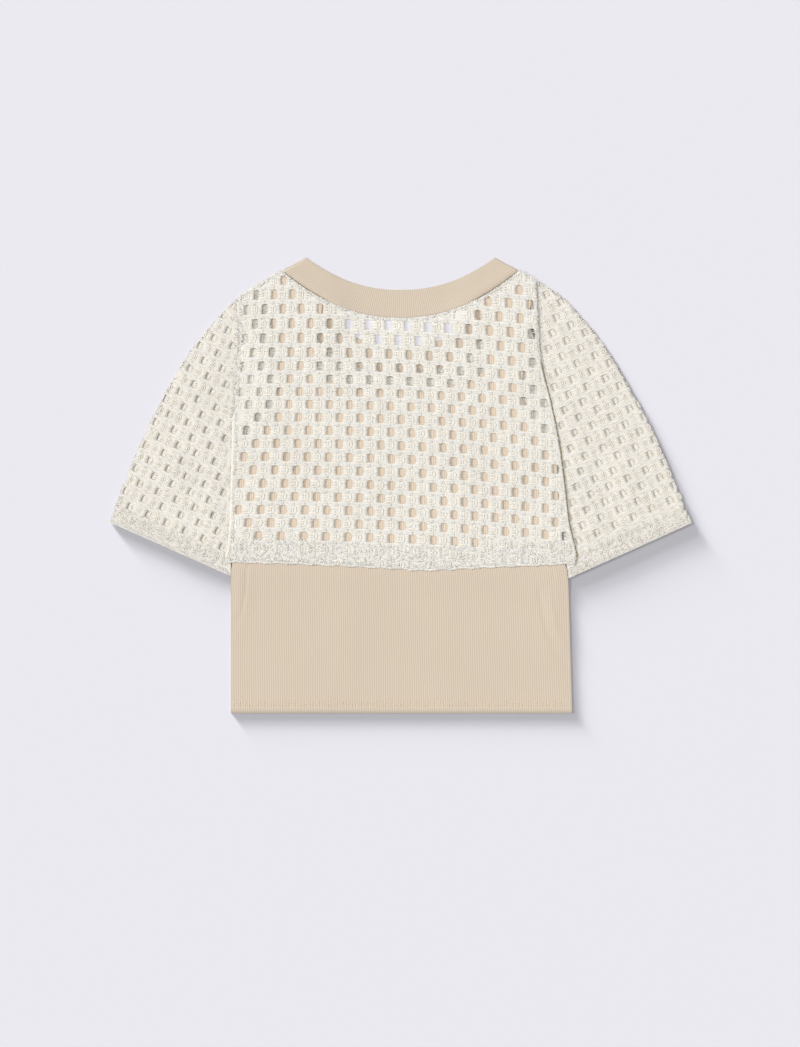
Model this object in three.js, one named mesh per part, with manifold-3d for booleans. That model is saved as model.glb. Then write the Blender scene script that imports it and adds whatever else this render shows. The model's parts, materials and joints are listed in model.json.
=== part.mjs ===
// A child's two-in-one crop top, laid flat with its back up: a short-sleeved
// openwork knit overlay with a ribbed neckband, over a fine-rib tank whose lower
// part shows below the overlay's hem. Millimetres, +Z up. The plane z = 0 is the
// surface it lies on, +Y points to the neck and +X to the right of a viewer above.
import * as THREE from 'three';
import { mergeVertices } from 'three/addons/utils/BufferGeometryUtils.js';
import Module from 'manifold-3d';

const wasm = await Module();
wasm.setup();

// Cloth thicknesses, and the gap kept between pieces
const KNIT_WALL = 2.0;
const RIB_WALL = 1.1;
const BAND_WALL = 2.0;
const GAP = 0.3;

// Wider gaps: panels to the neckband, straps to the neckband, sleeves to the armholes
const NECK_GAP = 0.35;
const STRAP_GAP = 1.2;
const ARMHOLE_GAP = 0.4;

// Depth of the turned-up hems, and how much a doubled hem stands up
const OVERLAY_HEM = 24;
const CUFF_HEM = 20;
const TANK_HEM = 12;
const KNIT_HEM_RISE = 0.6;
const RIB_HEM_RISE = 0.4;

// The overlay's lower edge waves with the knit's repeat
const KNIT_REPEAT = 20.4;
const HEM_WAVE = 0.7;

// Neckline curves: y = centre + depth * (|x| / half width) ^ power
const BACK_NECK_INNER = { halfWidth: 95.5, centre: 195, depth: 33, power: 2.15 };
const BACK_NECK_OUTER = { halfWidth: 119.5, centre: 167.5, depth: 47.5, power: 2.15 };
const FRONT_NECK_INNER = { halfWidth: 95.5, centre: 139, depth: 89, power: 3 };
const FRONT_NECK_OUTER = { halfWidth: 119.5, centre: 113, depth: 102, power: 3 };

// The neckband's shoulder folds stand this share of the half width from the middle
const BAND_FOLD_AT = 0.972;

// Overlay back: its edge beside each sleeve, from the shoulder seam to the hem
const BACK_LEFT_EDGE = [
  { x: -162.5, y: 188 },
  { x: -160.5, y: 142 },
  { x: -165.5, y: 85 },
  { x: -166.5, y: 39 },
  { x: -168.5, y: -30 },
  { x: -170.5, y: -60 },
  { x: -174.5, y: -76.5 },
];
const BACK_RIGHT_EDGE = [
  { x: 135.5, y: 205 },
  { x: 137.5, y: 165 },
  { x: 140.5, y: 121 },
  { x: 149.5, y: 85 },
  { x: 157.5, y: 45 },
  { x: 162.3, y: 12 },
  { x: 166.2, y: -21.7 },
  { x: 168.4, y: -39.4 },
  { x: 175.3, y: -68.5 },
  { x: 174.3, y: -76.5 },
];

// The sleeves are sewn to the upper rows of those edges
const LEFT_ARMHOLE = BACK_LEFT_EDGE.slice(0, 4);
const RIGHT_ARMHOLE = BACK_RIGHT_EDGE.slice(0, 5);

// Overlay hem, from the left side seam to the right one
const OVERLAY_HEM_LINE = [
  { x: -174.5, y: -77.5 },
  { x: -116.5, y: -79 },
  { x: -61.5, y: -81 },
  { x: -10.5, y: -83.7 },
  { x: 26.5, y: -85.5 },
  { x: 94.5, y: -82.4 },
  { x: 174, y: -79 },
];
const SIDE_SEAM_END = OVERLAY_HEM_LINE[0].y;
const HEM_BAND_TOP = OVERLAY_HEM_LINE[3].y + OVERLAY_HEM;

// The front's hem stops this far short of its sides
const HEM_CORNER_ROOM = 2;

// The front turns up round the tank's sides, but for this much at the hem and underarm
const TURN_UP_ENDS = { atHem: 1, atUnderarm: 8 };

// Sleeves: the outer fold from shoulder to cuff, and the underarm edge
const LEFT_SLEEVE_FOLD = [
  { x: -162.9, y: 188.1 },
  { x: -185.5, y: 165 },
  { x: -213.5, y: 130 },
  { x: -234, y: 96 },
  { x: -257, y: 50 },
  { x: -277.5, y: 2 },
  { x: -291.5, y: -37 },
];
const RIGHT_SLEEVE_FOLD = [
  { x: 135.9, y: 205.1 },
  { x: 151.5, y: 196 },
  { x: 170, y: 182 },
  { x: 186, y: 163 },
  { x: 202, y: 144 },
  { x: 229.5, y: 98 },
  { x: 254.5, y: 52 },
  { x: 275.5, y: 2 },
  { x: 291.5, y: -38 },
];
const LEFT_UNDERARM = [
  { x: -166.9, y: 39 },
  { x: -168.2, y: -30 },
  { x: -169.5, y: -91 },
];
const RIGHT_UNDERARM = [
  { x: 157.9, y: 45 },
  { x: 160.5, y: 0 },
  { x: 163, y: -55 },
  { x: 167.8, y: -93.5 },
];

// Tank: right half of its back from the strap's outer corner to the side, and the
// strap's inner edge down to the middle of the neckline; the left half mirrors them
const TANK_ARMHOLE = [
  { x: 134, y: 203.5 },
  { x: 127.5, y: 165 },
  { x: 125, y: 130 },
  { x: 120.5, y: 98 },
  { x: 124.5, y: 78 },
  { x: 136, y: 60 },
  { x: 150, y: 46 },
];
const TANK_NECKLINE = [
  { x: 78, y: 183.5 },
  { x: 80, y: 165 },
  { x: 87, y: 136 },
  { x: 82, y: 113 },
  { x: 58, y: 100.5 },
  { x: 0, y: 96 },
];

// The tank's front neckline is lower, fading out on the straps between two places
const TANK_FRONT_NECK_DROP = 12;
const NECK_DROP_FADE = { from: 60, to: 100 };

// Each strap's top runs between two shares of the neckline's half width
const STRAP_TOP = { from: 0.66, to: 0.99 };

// Tank sides, from the underarm to the hem
const TANK_HEM_EDGE = -228;
const TANK_LEFT_SIDE = [
  { x: -163, y: 34 },
  { x: -166.4, y: -73 },
  { x: -168.8, y: -78.3 },
  { x: -169.2, y: -92 },
  { x: -169.5, y: -98 },
  { x: -169.5, y: TANK_HEM_EDGE },
];
const TANK_RIGHT_SIDE = [
  { x: 155, y: 38 },
  { x: 161, y: -73 },
  { x: 165.3, y: -78.3 },
  { x: 167.3, y: -94 },
  { x: 167.7, y: -100 },
  { x: 171.5, y: TANK_HEM_EDGE },
];

// Soft folds: a ridge from one end to the other, its half width and its rise, which
// is down to a share of itself at the two ends
const FOLD_END_SHARE = 0.55;
const BODY_FOLDS = [
  { fromX: -148, fromY: 60, toX: -92, toY: 8, halfWidth: 22, rise: 1.2 },
  { fromX: -152, fromY: -40, toX: -120, toY: 20, halfWidth: 20, rise: 0.9 },
  { fromX: 148, fromY: 40, toX: 96, toY: -30, halfWidth: 22, rise: 1.3 },
  { fromX: 158, fromY: -60, toX: 150, toY: 10, halfWidth: 16, rise: 1.4 },
  { fromX: -40, fromY: 60, toX: -20, toY: -40, halfWidth: 28, rise: 0.7 },
  { fromX: 44, fromY: 70, toX: 62, toY: -20, halfWidth: 26, rise: 0.8 },
  { fromX: -96, fromY: 166, toX: -130, toY: 120, halfWidth: 20, rise: 0.8 },
  { fromX: 92, fromY: 168, toX: 124, toY: 126, halfWidth: 20, rise: 0.9 },
];
const TANK_FOLDS = [
  { fromX: -156, fromY: -84, toX: -160, toY: -140, halfWidth: 14, rise: 1.0 },
  { fromX: 150, fromY: -82, toX: 160, toY: -150, halfWidth: 14, rise: 1.1 },
  { fromX: 136, fromY: -100, toX: 152, toY: -176, halfWidth: 16, rise: 0.7 },
  { fromX: -60, fromY: -96, toX: -52, toY: -190, halfWidth: 26, rise: 0.5 },
  { fromX: 48, fromY: -100, toX: 40, toY: -180, halfWidth: 26, rise: 0.5 },
];
const LEFT_SLEEVE_FOLDS = [
  { fromX: -182, fromY: 60, toX: -190, toY: -62, halfWidth: 20, rise: 2.2 },
  { fromX: -196, fromY: 84, toX: -246, toY: -20, halfWidth: 22, rise: 1.6 },
  { fromX: -184, fromY: 128, toX: -226, toY: 70, halfWidth: 18, rise: 1.2 },
  { fromX: -224, fromY: -14, toX: -218, toY: -66, halfWidth: 16, rise: 1.3 },
];
const RIGHT_SLEEVE_FOLDS = [
  { fromX: 166, fromY: 90, toX: 196, toY: -60, halfWidth: 20, rise: 2.3 },
  { fromX: 182, fromY: 100, toX: 242, toY: -10, halfWidth: 22, rise: 1.7 },
  { fromX: 164, fromY: 150, toX: 206, toY: 96, halfWidth: 18, rise: 1.2 },
  { fromX: 228, fromY: 10, toX: 222, toY: -56, halfWidth: 16, rise: 1.4 },
];

// Mesh spacing: the panels share one lattice, so that their layers stay apart
const LATTICE = { left: -180, right: 180, bottom: -234, top: 222, step: 12 };
const SLEEVE_ROWS = 14;
const SLEEVE_COLUMNS = 10;
const BAND_STEPS = 22;
const BAND_ACROSS = [0, 0.5, 1];
const BAND_FOLD_TURNS = [0.25, 0.5, 0.75];
const MERGE_DISTANCE = 1e-4;

// Divisions of each curved edge
const DIVISIONS = {
  backNeck: 28,
  frontNeck: 32,
  leftEdge: 26,
  rightEdge: 34,
  backHem: 68,
  frontHem: 34,
  armhole: 16,
  underarm: 10,
  tankCurve: 18,
  strapTop: 5,
};

// Lattice rows of the tank's back: the one at the overlay's hem, and those between
// which it comes down from the overlay's front to the surface
const HEM_ROW = 13;
const DROP_ROWS = { start: 12, middle: 11, end: 10 };

// Depth of the blocks that cut panels out of their cloth
const CUT_FROM = -5;
const CUT_TO = 30;

// A sleeve's two faces are flat up to this far from their edges, and its folds fade
// out over these shares of its width and of its length
const SLEEVE_ROUND = { outside: 2.2, inside: 3.2 };
const SLEEVE_FADE = { foldEnd: 0.12, innerStart: 0.86, innerEnd: 0.97, armholeEnd: 0.12 };

// A layer comes down to what lies below it over this distance from what lifts it
const LIFT_MARGIN = 16;
const LIFT_FALL = 14;

// Colours of the two cloths
const KNIT_CREAM = 0xe9e5db;
const SLEEVE_CREAM = 0xeae6d7;
const RIB_BEIGE = 0xddcdb8;
const CLOTH_ROUGHNESS = 0.9;

// Heights of each layer's underside where all of them lie on each other
const TANK_FRONT_LIFT = KNIT_WALL + GAP;
const TANK_BACK_LIFT = RIB_WALL + GAP;
const TANK_STACK = 2 * (RIB_WALL + GAP);

function smoothstep(from, to, value) {
  const t = THREE.MathUtils.clamp((value - from) / (to - from), 0, 1);
  return t * t * (3 - 2 * t);
}

function smoothLine(rows, divisions) {
  const curve = new THREE.SplineCurve(rows.map((row) => new THREE.Vector2(row.x, row.y)));
  return curve.getPoints(divisions);
}

function mirrored(points) {
  return points.map((point) => new THREE.Vector2(-point.x, point.y)).reverse();
}

function neckHeight(neck, x) {
  return neck.centre + neck.depth * Math.pow(Math.abs(x) / neck.halfWidth, neck.power);
}

// Points along a neckline between two shares of its half width, moved down and
// out of the neck by an offset
function neckLine(neck, fromShare, toShare, divisions, offset) {
  const points = [];
  for (let i = 0; i <= divisions; i++) {
    const share = THREE.MathUtils.lerp(fromShare, toShare, i / divisions);
    const x = neck.halfWidth * share;
    const slope = Math.sign(x) * neck.depth * neck.power
      * Math.pow(Math.abs(share), neck.power - 1) / neck.halfWidth;
    const normal = new THREE.Vector2(slope, -1).normalize();
    points.push(new THREE.Vector2(x, neckHeight(neck, x)).addScaledVector(normal, offset));
  }
  return points;
}

function distanceToSegment(x, y, a, b) {
  const along = new THREE.Vector2(b.x - a.x, b.y - a.y);
  const toPoint = new THREE.Vector2(x - a.x, y - a.y);
  const share = THREE.MathUtils.clamp(toPoint.dot(along) / along.lengthSq(), 0, 1);
  return { distance: toPoint.addScaledVector(along, -share).length(), share };
}

function isInside(x, y, outline) {
  let inside = false;
  for (let i = 0, j = outline.length - 1; i < outline.length; j = i++) {
    const a = outline[i];
    const b = outline[j];
    const crosses = (a.y > y) !== (b.y > y);
    if (crosses && x < (b.x - a.x) * (y - a.y) / (b.y - a.y) + a.x) inside = !inside;
  }
  return inside;
}

function distanceOutside(x, y, outline) {
  if (isInside(x, y, outline)) return 0;
  let nearest = Infinity;
  for (let i = 0, j = outline.length - 1; i < outline.length; j = i++) {
    nearest = Math.min(nearest, distanceToSegment(x, y, outline[i], outline[j]).distance);
  }
  return nearest;
}

// 1 on an outline and a margin round it, falling softly to 0 beyond
function liftBy(x, y, outline) {
  const distance = distanceOutside(x, y, outline);
  return 1 - smoothstep(LIFT_MARGIN, LIFT_MARGIN + LIFT_FALL, distance);
}

function foldRise(x, y, folds) {
  let rise = 0;
  for (const fold of folds) {
    const from = { x: fold.fromX, y: fold.fromY };
    const to = { x: fold.toX, y: fold.toY };
    const { distance, share } = distanceToSegment(x, y, from, to);
    const across = Math.max(0, 1 - distance / fold.halfWidth);
    const fade = FOLD_END_SHARE + (1 - FOLD_END_SHARE) * Math.sin(Math.PI * share);
    rise += fold.rise * fade * across * across * (3 - 2 * across);
  }
  return rise;
}

function turnOutwards(geometry) {
  const position = geometry.attributes.position;
  const index = geometry.index.array;
  const corners = [new THREE.Vector3(), new THREE.Vector3(), new THREE.Vector3()];
  let volume = 0;
  for (let i = 0; i < index.length; i += 3) {
    corners.forEach((corner, k) => corner.fromBufferAttribute(position, index[i + k]));
    volume += corners[0].dot(corners[1].clone().cross(corners[2]));
  }
  if (volume < 0) {
    for (let i = 0; i < index.length; i += 3) {
      [index[i], index[i + 1]] = [index[i + 1], index[i]];
    }
  }
  return geometry;
}

function indexedGeometry(points, triangles) {
  const geometry = new THREE.BufferGeometry();
  const coordinates = points.flatMap((point) => [point.x, point.y, point.z]);
  geometry.setAttribute('position', new THREE.Float32BufferAttribute(coordinates, 3));
  geometry.setIndex(triangles);
  return turnOutwards(geometry);
}

function latticeLines(from, to) {
  const count = Math.round((to - from) / LATTICE.step);
  return Array.from({ length: count + 1 }, (_, i) => from + i * LATTICE.step);
}

// A rectangle of cloth on lattice lines, between an underside and a top surface
// that are given as functions of x and y
function clothRectangle(undersideAt, topAt, xLines, yLines) {
  const columns = xLines.length - 1;
  const rows = yLines.length - 1;
  const points = [];
  for (const heightAt of [undersideAt, topAt]) {
    for (const y of yLines) {
      for (const x of xLines) points.push(new THREE.Vector3(x, y, heightAt(x, y)));
    }
  }
  const layer = (rows + 1) * (columns + 1);
  const at = (row, column) => row * (columns + 1) + column;
  const triangles = [];
  for (let row = 0; row < rows; row++) {
    for (let column = 0; column < columns; column++) {
      const a = at(row, column);
      const b = at(row, column + 1);
      const c = at(row + 1, column + 1);
      const d = at(row + 1, column);
      triangles.push(a, c, b, a, d, c);
      triangles.push(layer + a, layer + b, layer + c, layer + a, layer + c, layer + d);
    }
  }
  const rim = [];
  for (let column = 0; column < columns; column++) rim.push(at(0, column));
  for (let row = 0; row < rows; row++) rim.push(at(row, columns));
  for (let column = columns; column > 0; column--) rim.push(at(rows, column));
  for (let row = rows; row > 0; row--) rim.push(at(row, 0));
  rim.forEach((here, i) => {
    const next = rim[(i + 1) % rim.length];
    triangles.push(here, next, layer + next, here, layer + next, layer + here);
  });
  return indexedGeometry(points, triangles);
}

function toSolid(geometry) {
  const bare = geometry.clone();
  bare.deleteAttribute('normal');
  bare.deleteAttribute('uv');
  const merged = mergeVertices(bare, MERGE_DISTANCE);
  return new wasm.Manifold(new wasm.Mesh({
    numProp: 3,
    vertProperties: new Float32Array(merged.attributes.position.array),
    triVerts: new Uint32Array(merged.index.array),
  }));
}

function toGeometry(solid) {
  const mesh = solid.getMesh();
  const geometry = new THREE.BufferGeometry();
  geometry.setAttribute('position', new THREE.BufferAttribute(mesh.vertProperties, 3));
  geometry.setIndex(new THREE.BufferAttribute(mesh.triVerts, 1));
  geometry.computeVertexNormals();
  return geometry;
}

// A tall block with a panel's outline, to cut the panel out of its cloth
function cutter(outline, bottom, top) {
  const shape = new THREE.Shape(outline);
  const geometry = new THREE.ExtrudeGeometry(shape, { depth: top - bottom, bevelEnabled: false });
  geometry.translate(0, 0, bottom);
  return toSolid(geometry);
}

function cutPanel(outline, cloth) {
  return toSolid(cloth).intersect(cutter(outline, CUT_FROM, CUT_TO));
}

// A closed loop of cloth: outer and inner surfaces as rows of points that run
// round the loop, joined along the first and the last row
function loopOfCloth(outerRows, innerRows) {
  const rows = outerRows.length;
  const around = outerRows[0].length;
  const points = [...outerRows.flat(), ...innerRows.flat()];
  const outer = (row, k) => row * around + (k % around);
  const inner = (row, k) => rows * around + row * around + (k % around);
  const triangles = [];
  const quad = (a, b, c, d) => triangles.push(a, b, c, a, c, d);
  for (let k = 0; k < around; k++) {
    for (let row = 0; row < rows - 1; row++) {
      quad(outer(row, k), outer(row, k + 1), outer(row + 1, k + 1), outer(row + 1, k));
      quad(inner(row + 1, k), inner(row + 1, k + 1), inner(row, k + 1), inner(row, k));
    }
    quad(outer(0, k + 1), outer(0, k), inner(0, k), inner(0, k + 1));
    quad(outer(rows - 1, k), outer(rows - 1, k + 1), inner(rows - 1, k + 1), inner(rows - 1, k));
  }
  const geometry = indexedGeometry(points, triangles);
  geometry.computeVertexNormals();
  return geometry;
}

// Outlines
const backNeckEdge = neckLine(BACK_NECK_OUTER, -1, 1, DIVISIONS.backNeck, NECK_GAP);
const frontNeckEdge = neckLine(FRONT_NECK_OUTER, -1, 1, DIVISIONS.frontNeck, NECK_GAP);

function overlayBackOutline() {
  const left = smoothLine(BACK_LEFT_EDGE, DIVISIONS.leftEdge);
  const right = smoothLine(BACK_RIGHT_EDGE, DIVISIONS.rightEdge).reverse();
  const hem = smoothLine(OVERLAY_HEM_LINE, DIVISIONS.backHem).map((point) => new THREE.Vector2(
    point.x, point.y + HEM_WAVE * Math.cos(2 * Math.PI * point.x / KNIT_REPEAT)));
  return [...left, ...hem, ...right, ...[...backNeckEdge].reverse()];
}

// The front's sides stay clear of the sleeves' underarm edges
function frontSide(armholeRows, underarmRows, inward) {
  const armhole = smoothLine(armholeRows, DIVISIONS.armhole);
  const side = smoothLine(underarmRows, DIVISIONS.underarm)
    .filter((point) => point.y > SIDE_SEAM_END)
    .map((point) => new THREE.Vector2(point.x + inward * GAP, point.y));
  return [...armhole, ...side.slice(1)];
}

function overlayFrontOutline() {
  const left = frontSide(LEFT_ARMHOLE, LEFT_UNDERARM, 1);
  const right = frontSide(RIGHT_ARMHOLE, RIGHT_UNDERARM, -1).reverse();
  const hemStart = left[left.length - 1].x + HEM_CORNER_ROOM;
  const hemEnd = right[0].x - HEM_CORNER_ROOM;
  const hem = smoothLine(OVERLAY_HEM_LINE, DIVISIONS.frontHem)
    .filter((point) => point.x > hemStart && point.x < hemEnd);
  return [...left, ...hem, ...right, ...[...frontNeckEdge].reverse()];
}

function tankOutline(neckDrop) {
  const armhole = smoothLine(TANK_ARMHOLE, DIVISIONS.tankCurve);
  const dropAt = (x) => neckDrop * (1 - smoothstep(NECK_DROP_FADE.from, NECK_DROP_FADE.to, x));
  const neck = smoothLine(TANK_NECKLINE, DIVISIONS.tankCurve)
    .map((point) => new THREE.Vector2(point.x, point.y - dropAt(point.x)));
  const strapTop = neckLine(
    BACK_NECK_OUTER, STRAP_TOP.from, STRAP_TOP.to, DIVISIONS.strapTop, STRAP_GAP);
  const left = TANK_LEFT_SIDE.map((row) => new THREE.Vector2(row.x, row.y));
  const right = TANK_RIGHT_SIDE.map((row) => new THREE.Vector2(row.x, row.y)).reverse();
  return [
    ...mirrored(armhole).reverse(), ...left, ...right, ...[...armhole].reverse(),
    ...[...strapTop].reverse(), ...neck.slice(0, -1), ...mirrored(neck),
    ...mirrored(strapTop).reverse(),
  ];
}

const backOutline = overlayBackOutline();
const frontOutline = overlayFrontOutline();
const tankBackOutline = tankOutline(0);
const tankFrontOutline = tankOutline(TANK_FRONT_NECK_DROP);

// What lies under the back of the overlay and of the neckband: the front of the
// overlay with the front neckband, whose opening is left free
const frontAndBandOutline = [
  ...frontOutline.slice(0, frontOutline.length - frontNeckEdge.length),
  ...neckLine(FRONT_NECK_INNER, 1, -1, DIVISIONS.frontNeck, 0),
];

// Lattice lines: all of them, and those of the tank, which is plain under the overlay
const xLines = latticeLines(LATTICE.left, LATTICE.right);
const yLines = latticeLines(LATTICE.bottom, LATTICE.top);
const latticeAtHem = yLines[HEM_ROW];
const dropStart = yLines[DROP_ROWS.start];
const dropMiddle = yLines[DROP_ROWS.middle];
const dropEnd = yLines[DROP_ROWS.end];
const overlayRows = yLines.filter((y) => y >= dropStart);
const tankBackRows = [...yLines.filter((y) => y <= latticeAtHem), LATTICE.top];
const tankFrontRows = [LATTICE.bottom, dropEnd, dropMiddle, dropStart, LATTICE.top];
const fullWidth = [LATTICE.left, LATTICE.right];

// Heights, each a function of the place on the garment
const hemDrop = (y) => smoothstep(dropStart, dropEnd, y);
const tankFrontUnderside = (x, y) => TANK_FRONT_LIFT * (1 - hemDrop(y));
const tankFrontTop = (x, y) => tankFrontUnderside(x, y) + RIB_WALL;
const tankBackUnderside = (x, y) => tankFrontUnderside(x, y) + TANK_BACK_LIFT
  + foldRise(x, y, TANK_FOLDS) * smoothstep(latticeAtHem, dropStart, y);
const tankBackTop = (x, y) => tankBackUnderside(x, y) + RIB_WALL
  + RIB_HEM_RISE * (y < TANK_HEM_EDGE + TANK_HEM ? 1 : 0);
const overlayBackUnderside = (x, y) => (KNIT_WALL + GAP) * liftBy(x, y, frontAndBandOutline)
  + TANK_STACK * liftBy(x, y, tankBackOutline) + foldRise(x, y, BODY_FOLDS);
const overlayBackTop = (x, y) => overlayBackUnderside(x, y) + KNIT_WALL
  + KNIT_HEM_RISE * (y < HEM_BAND_TOP ? 1 : 0);

// Where the front turns up round the tank's sides to meet the back
function sideTurnUp(underarmRows, inward) {
  const lowest = SIDE_SEAM_END + TURN_UP_ENDS.atHem;
  const highest = underarmRows[0].y - TURN_UP_ENDS.atUnderarm;
  const edge = smoothLine(underarmRows, DIVISIONS.underarm)
    .filter((point) => point.y > lowest && point.y < highest);
  const outside = edge.map((point) => new THREE.Vector2(point.x + inward * GAP, point.y));
  const inside = edge.map((point) => new THREE.Vector2(
    point.x + inward * (GAP + KNIT_WALL), point.y)).reverse();
  return cutter([...outside, ...inside], KNIT_WALL / 2, KNIT_WALL + TANK_STACK);
}

function overlayFront() {
  const wall = cutter(frontOutline, 0, KNIT_WALL);
  const leftTurn = sideTurnUp(LEFT_UNDERARM, 1);
  const rightTurn = sideTurnUp(RIGHT_UNDERARM, -1);
  return toGeometry(wall.add(leftTurn).add(rightTurn));
}

function overlayBack() {
  return toGeometry(cutPanel(backOutline,
    clothRectangle(overlayBackUnderside, overlayBackTop, xLines, overlayRows)));
}

function tankFront() {
  return toGeometry(cutPanel(tankFrontOutline,
    clothRectangle(tankFrontUnderside, tankFrontTop, fullWidth, tankFrontRows)));
}

function tankBack() {
  return toGeometry(cutPanel(tankBackOutline,
    clothRectangle(tankBackUnderside, tankBackTop, xLines, tankBackRows)));
}

// A sleeve is a flattened tube: u runs from the outer fold to the armhole and the
// underarm, v from the armhole to the cuff
function sleeve(foldRows, armholeRows, underarmRows, outward, folds) {
  const fold = new THREE.SplineCurve(foldRows.map((row) => new THREE.Vector2(row.x, row.y)));
  const underarm = new THREE.SplineCurve(
    underarmRows.map((row) => new THREE.Vector2(row.x, row.y)));
  const armhole = new THREE.SplineCurve(armholeRows.map((row) => new THREE.Vector2(
    row.x + outward * ARMHOLE_GAP, row.y)));
  const cuffOuter = fold.getPoint(1);
  const cuffInner = underarm.getPoint(1);
  const shoulder = fold.getPoint(0);
  const pit = underarm.getPoint(0);
  const place = (u, v) => {
    const point = new THREE.Vector2();
    point.addScaledVector(fold.getPoint(v), 1 - u).addScaledVector(underarm.getPoint(v), u);
    point.addScaledVector(armhole.getPoint(u), 1 - v);
    point.addScaledVector(cuffOuter.clone().lerp(cuffInner, u), v);
    point.addScaledVector(shoulder, -(1 - u) * (1 - v)).addScaledVector(pit, -u * (1 - v));
    point.addScaledVector(cuffOuter, -(1 - u) * v).addScaledVector(cuffInner, -u * v);
    return point;
  };
  const flatHeight = 2 * KNIT_WALL + GAP;
  const outerRows = [];
  const innerRows = [];
  for (let row = 0; row <= SLEEVE_ROWS; row++) {
    const v = row / SLEEVE_ROWS;
    const width = place(0, v).distanceTo(place(1, v));
    const length = cuffOuter.distanceTo(shoulder);
    const cuffRise = (1 - v) * length < CUFF_HEM ? KNIT_HEM_RISE : 0;
    const ring = (edgeInset, flatInset, topHeight, bottomHeight) => {
      const start = edgeInset / width;
      const flatStart = flatInset / width;
      const points = [];
      const push = (u, height) => {
        const spot = place(u, v);
        points.push(new THREE.Vector3(spot.x, spot.y, height(spot, u)));
      };
      push(start, () => flatHeight / 2);
      for (let i = 0; i < SLEEVE_COLUMNS; i++) {
        push(THREE.MathUtils.lerp(flatStart, 1 - flatStart, i / (SLEEVE_COLUMNS - 1)), topHeight);
      }
      push(1 - start, () => flatHeight / 2);
      for (let i = SLEEVE_COLUMNS - 1; i >= 0; i--) {
        push(THREE.MathUtils.lerp(flatStart, 1 - flatStart, i / (SLEEVE_COLUMNS - 1)), bottomHeight);
      }
      return points;
    };
    const loft = (spot, u) => foldRise(spot.x, spot.y, folds)
      * smoothstep(0, SLEEVE_FADE.foldEnd, u) * smoothstep(0, SLEEVE_FADE.armholeEnd, v)
      * (1 - smoothstep(SLEEVE_FADE.innerStart, SLEEVE_FADE.innerEnd, u));
    outerRows.push(ring(0, SLEEVE_ROUND.outside,
      (spot, u) => flatHeight + cuffRise + loft(spot, u), () => 0));
    innerRows.push(ring(KNIT_WALL, SLEEVE_ROUND.inside,
      (spot, u) => flatHeight - KNIT_WALL + loft(spot, u), () => KNIT_WALL));
  }
  return loopOfCloth(outerRows, innerRows);
}

// Neckband: a ring of doubled rib that lies on itself, the back part up and the
// deeper front part below, folded over at each shoulder
function bandRest(x, y) {
  return (BAND_WALL + GAP) * liftBy(x, y, frontAndBandOutline);
}

function neckband() {
  const outerRows = BAND_ACROSS.map(() => []);
  const innerRows = BAND_ACROSS.map(() => []);
  const spotOn = (inner, outer, s, across) => {
    const from = new THREE.Vector2(inner.halfWidth * s, neckHeight(inner, inner.halfWidth * s));
    const to = new THREE.Vector2(outer.halfWidth * s, neckHeight(outer, outer.halfWidth * s));
    return from.lerp(to, across);
  };
  const backUnderside = (spot, across) => Math.max(
    bandRest(spot.x, spot.y), THREE.MathUtils.lerp(0, overlayBackUnderside(spot.x, spot.y), across));
  const pushBack = (s) => BAND_ACROSS.forEach((across, i) => {
    const spot = spotOn(BACK_NECK_INNER, BACK_NECK_OUTER, s, across);
    const rest = backUnderside(spot, across);
    outerRows[i].push(new THREE.Vector3(spot.x, spot.y, rest + BAND_WALL));
    innerRows[i].push(new THREE.Vector3(spot.x, spot.y, rest));
  });
  const pushFront = (s) => BAND_ACROSS.forEach((across, i) => {
    const spot = spotOn(FRONT_NECK_INNER, FRONT_NECK_OUTER, s, across);
    outerRows[i].push(new THREE.Vector3(spot.x, spot.y, 0));
    innerRows[i].push(new THREE.Vector3(spot.x, spot.y, BAND_WALL));
  });
  const pushFold = (side, turn) => {
    const s = side * BAND_FOLD_AT;
    const start = spotOn(BACK_NECK_INNER, BACK_NECK_OUTER, s, 0);
    const end = spotOn(BACK_NECK_INNER, BACK_NECK_OUTER, s, 1);
    const along = end.clone().sub(start).normalize();
    const away = new THREE.Vector2(-along.y * side, along.x * side);
    BAND_ACROSS.forEach((across, i) => {
      const spot = start.clone().lerp(end, across);
      const rest = backUnderside(spot, across);
      const halfGap = (rest - BAND_WALL) / 2;
      const middle = BAND_WALL + halfGap;
      const round = (radius) => {
        const moved = spot.clone().addScaledVector(away, radius * Math.sin(turn));
        return new THREE.Vector3(moved.x, moved.y, middle + radius * Math.cos(turn));
      };
      outerRows[i].push(round(halfGap + BAND_WALL));
      innerRows[i].push(round(halfGap));
    });
  };
  const steps = Array.from({ length: BAND_STEPS + 1 }, (_, i) => -1 + 2 * i / BAND_STEPS);
  const turns = BAND_FOLD_TURNS.map((share) => share * Math.PI);
  steps.forEach((t) => pushBack(BAND_FOLD_AT * Math.sin(t * Math.PI / 2)));
  turns.forEach((turn) => pushFold(1, turn));
  [...steps].reverse().forEach((t) => pushFront(BAND_FOLD_AT * Math.sin(t * Math.PI / 2)));
  [...turns].reverse().forEach((turn) => pushFold(-1, turn));
  return loopOfCloth(outerRows, innerRows);
}

function clothMaterial(colour) {
  return new THREE.MeshStandardMaterial({ color: colour, roughness: CLOTH_ROUGHNESS, metalness: 0 });
}

const top = new THREE.Group();

function addPiece(name, geometry, colour) {
  const mesh = new THREE.Mesh(geometry, clothMaterial(colour));
  mesh.name = name;
  top.add(mesh);
}

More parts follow.
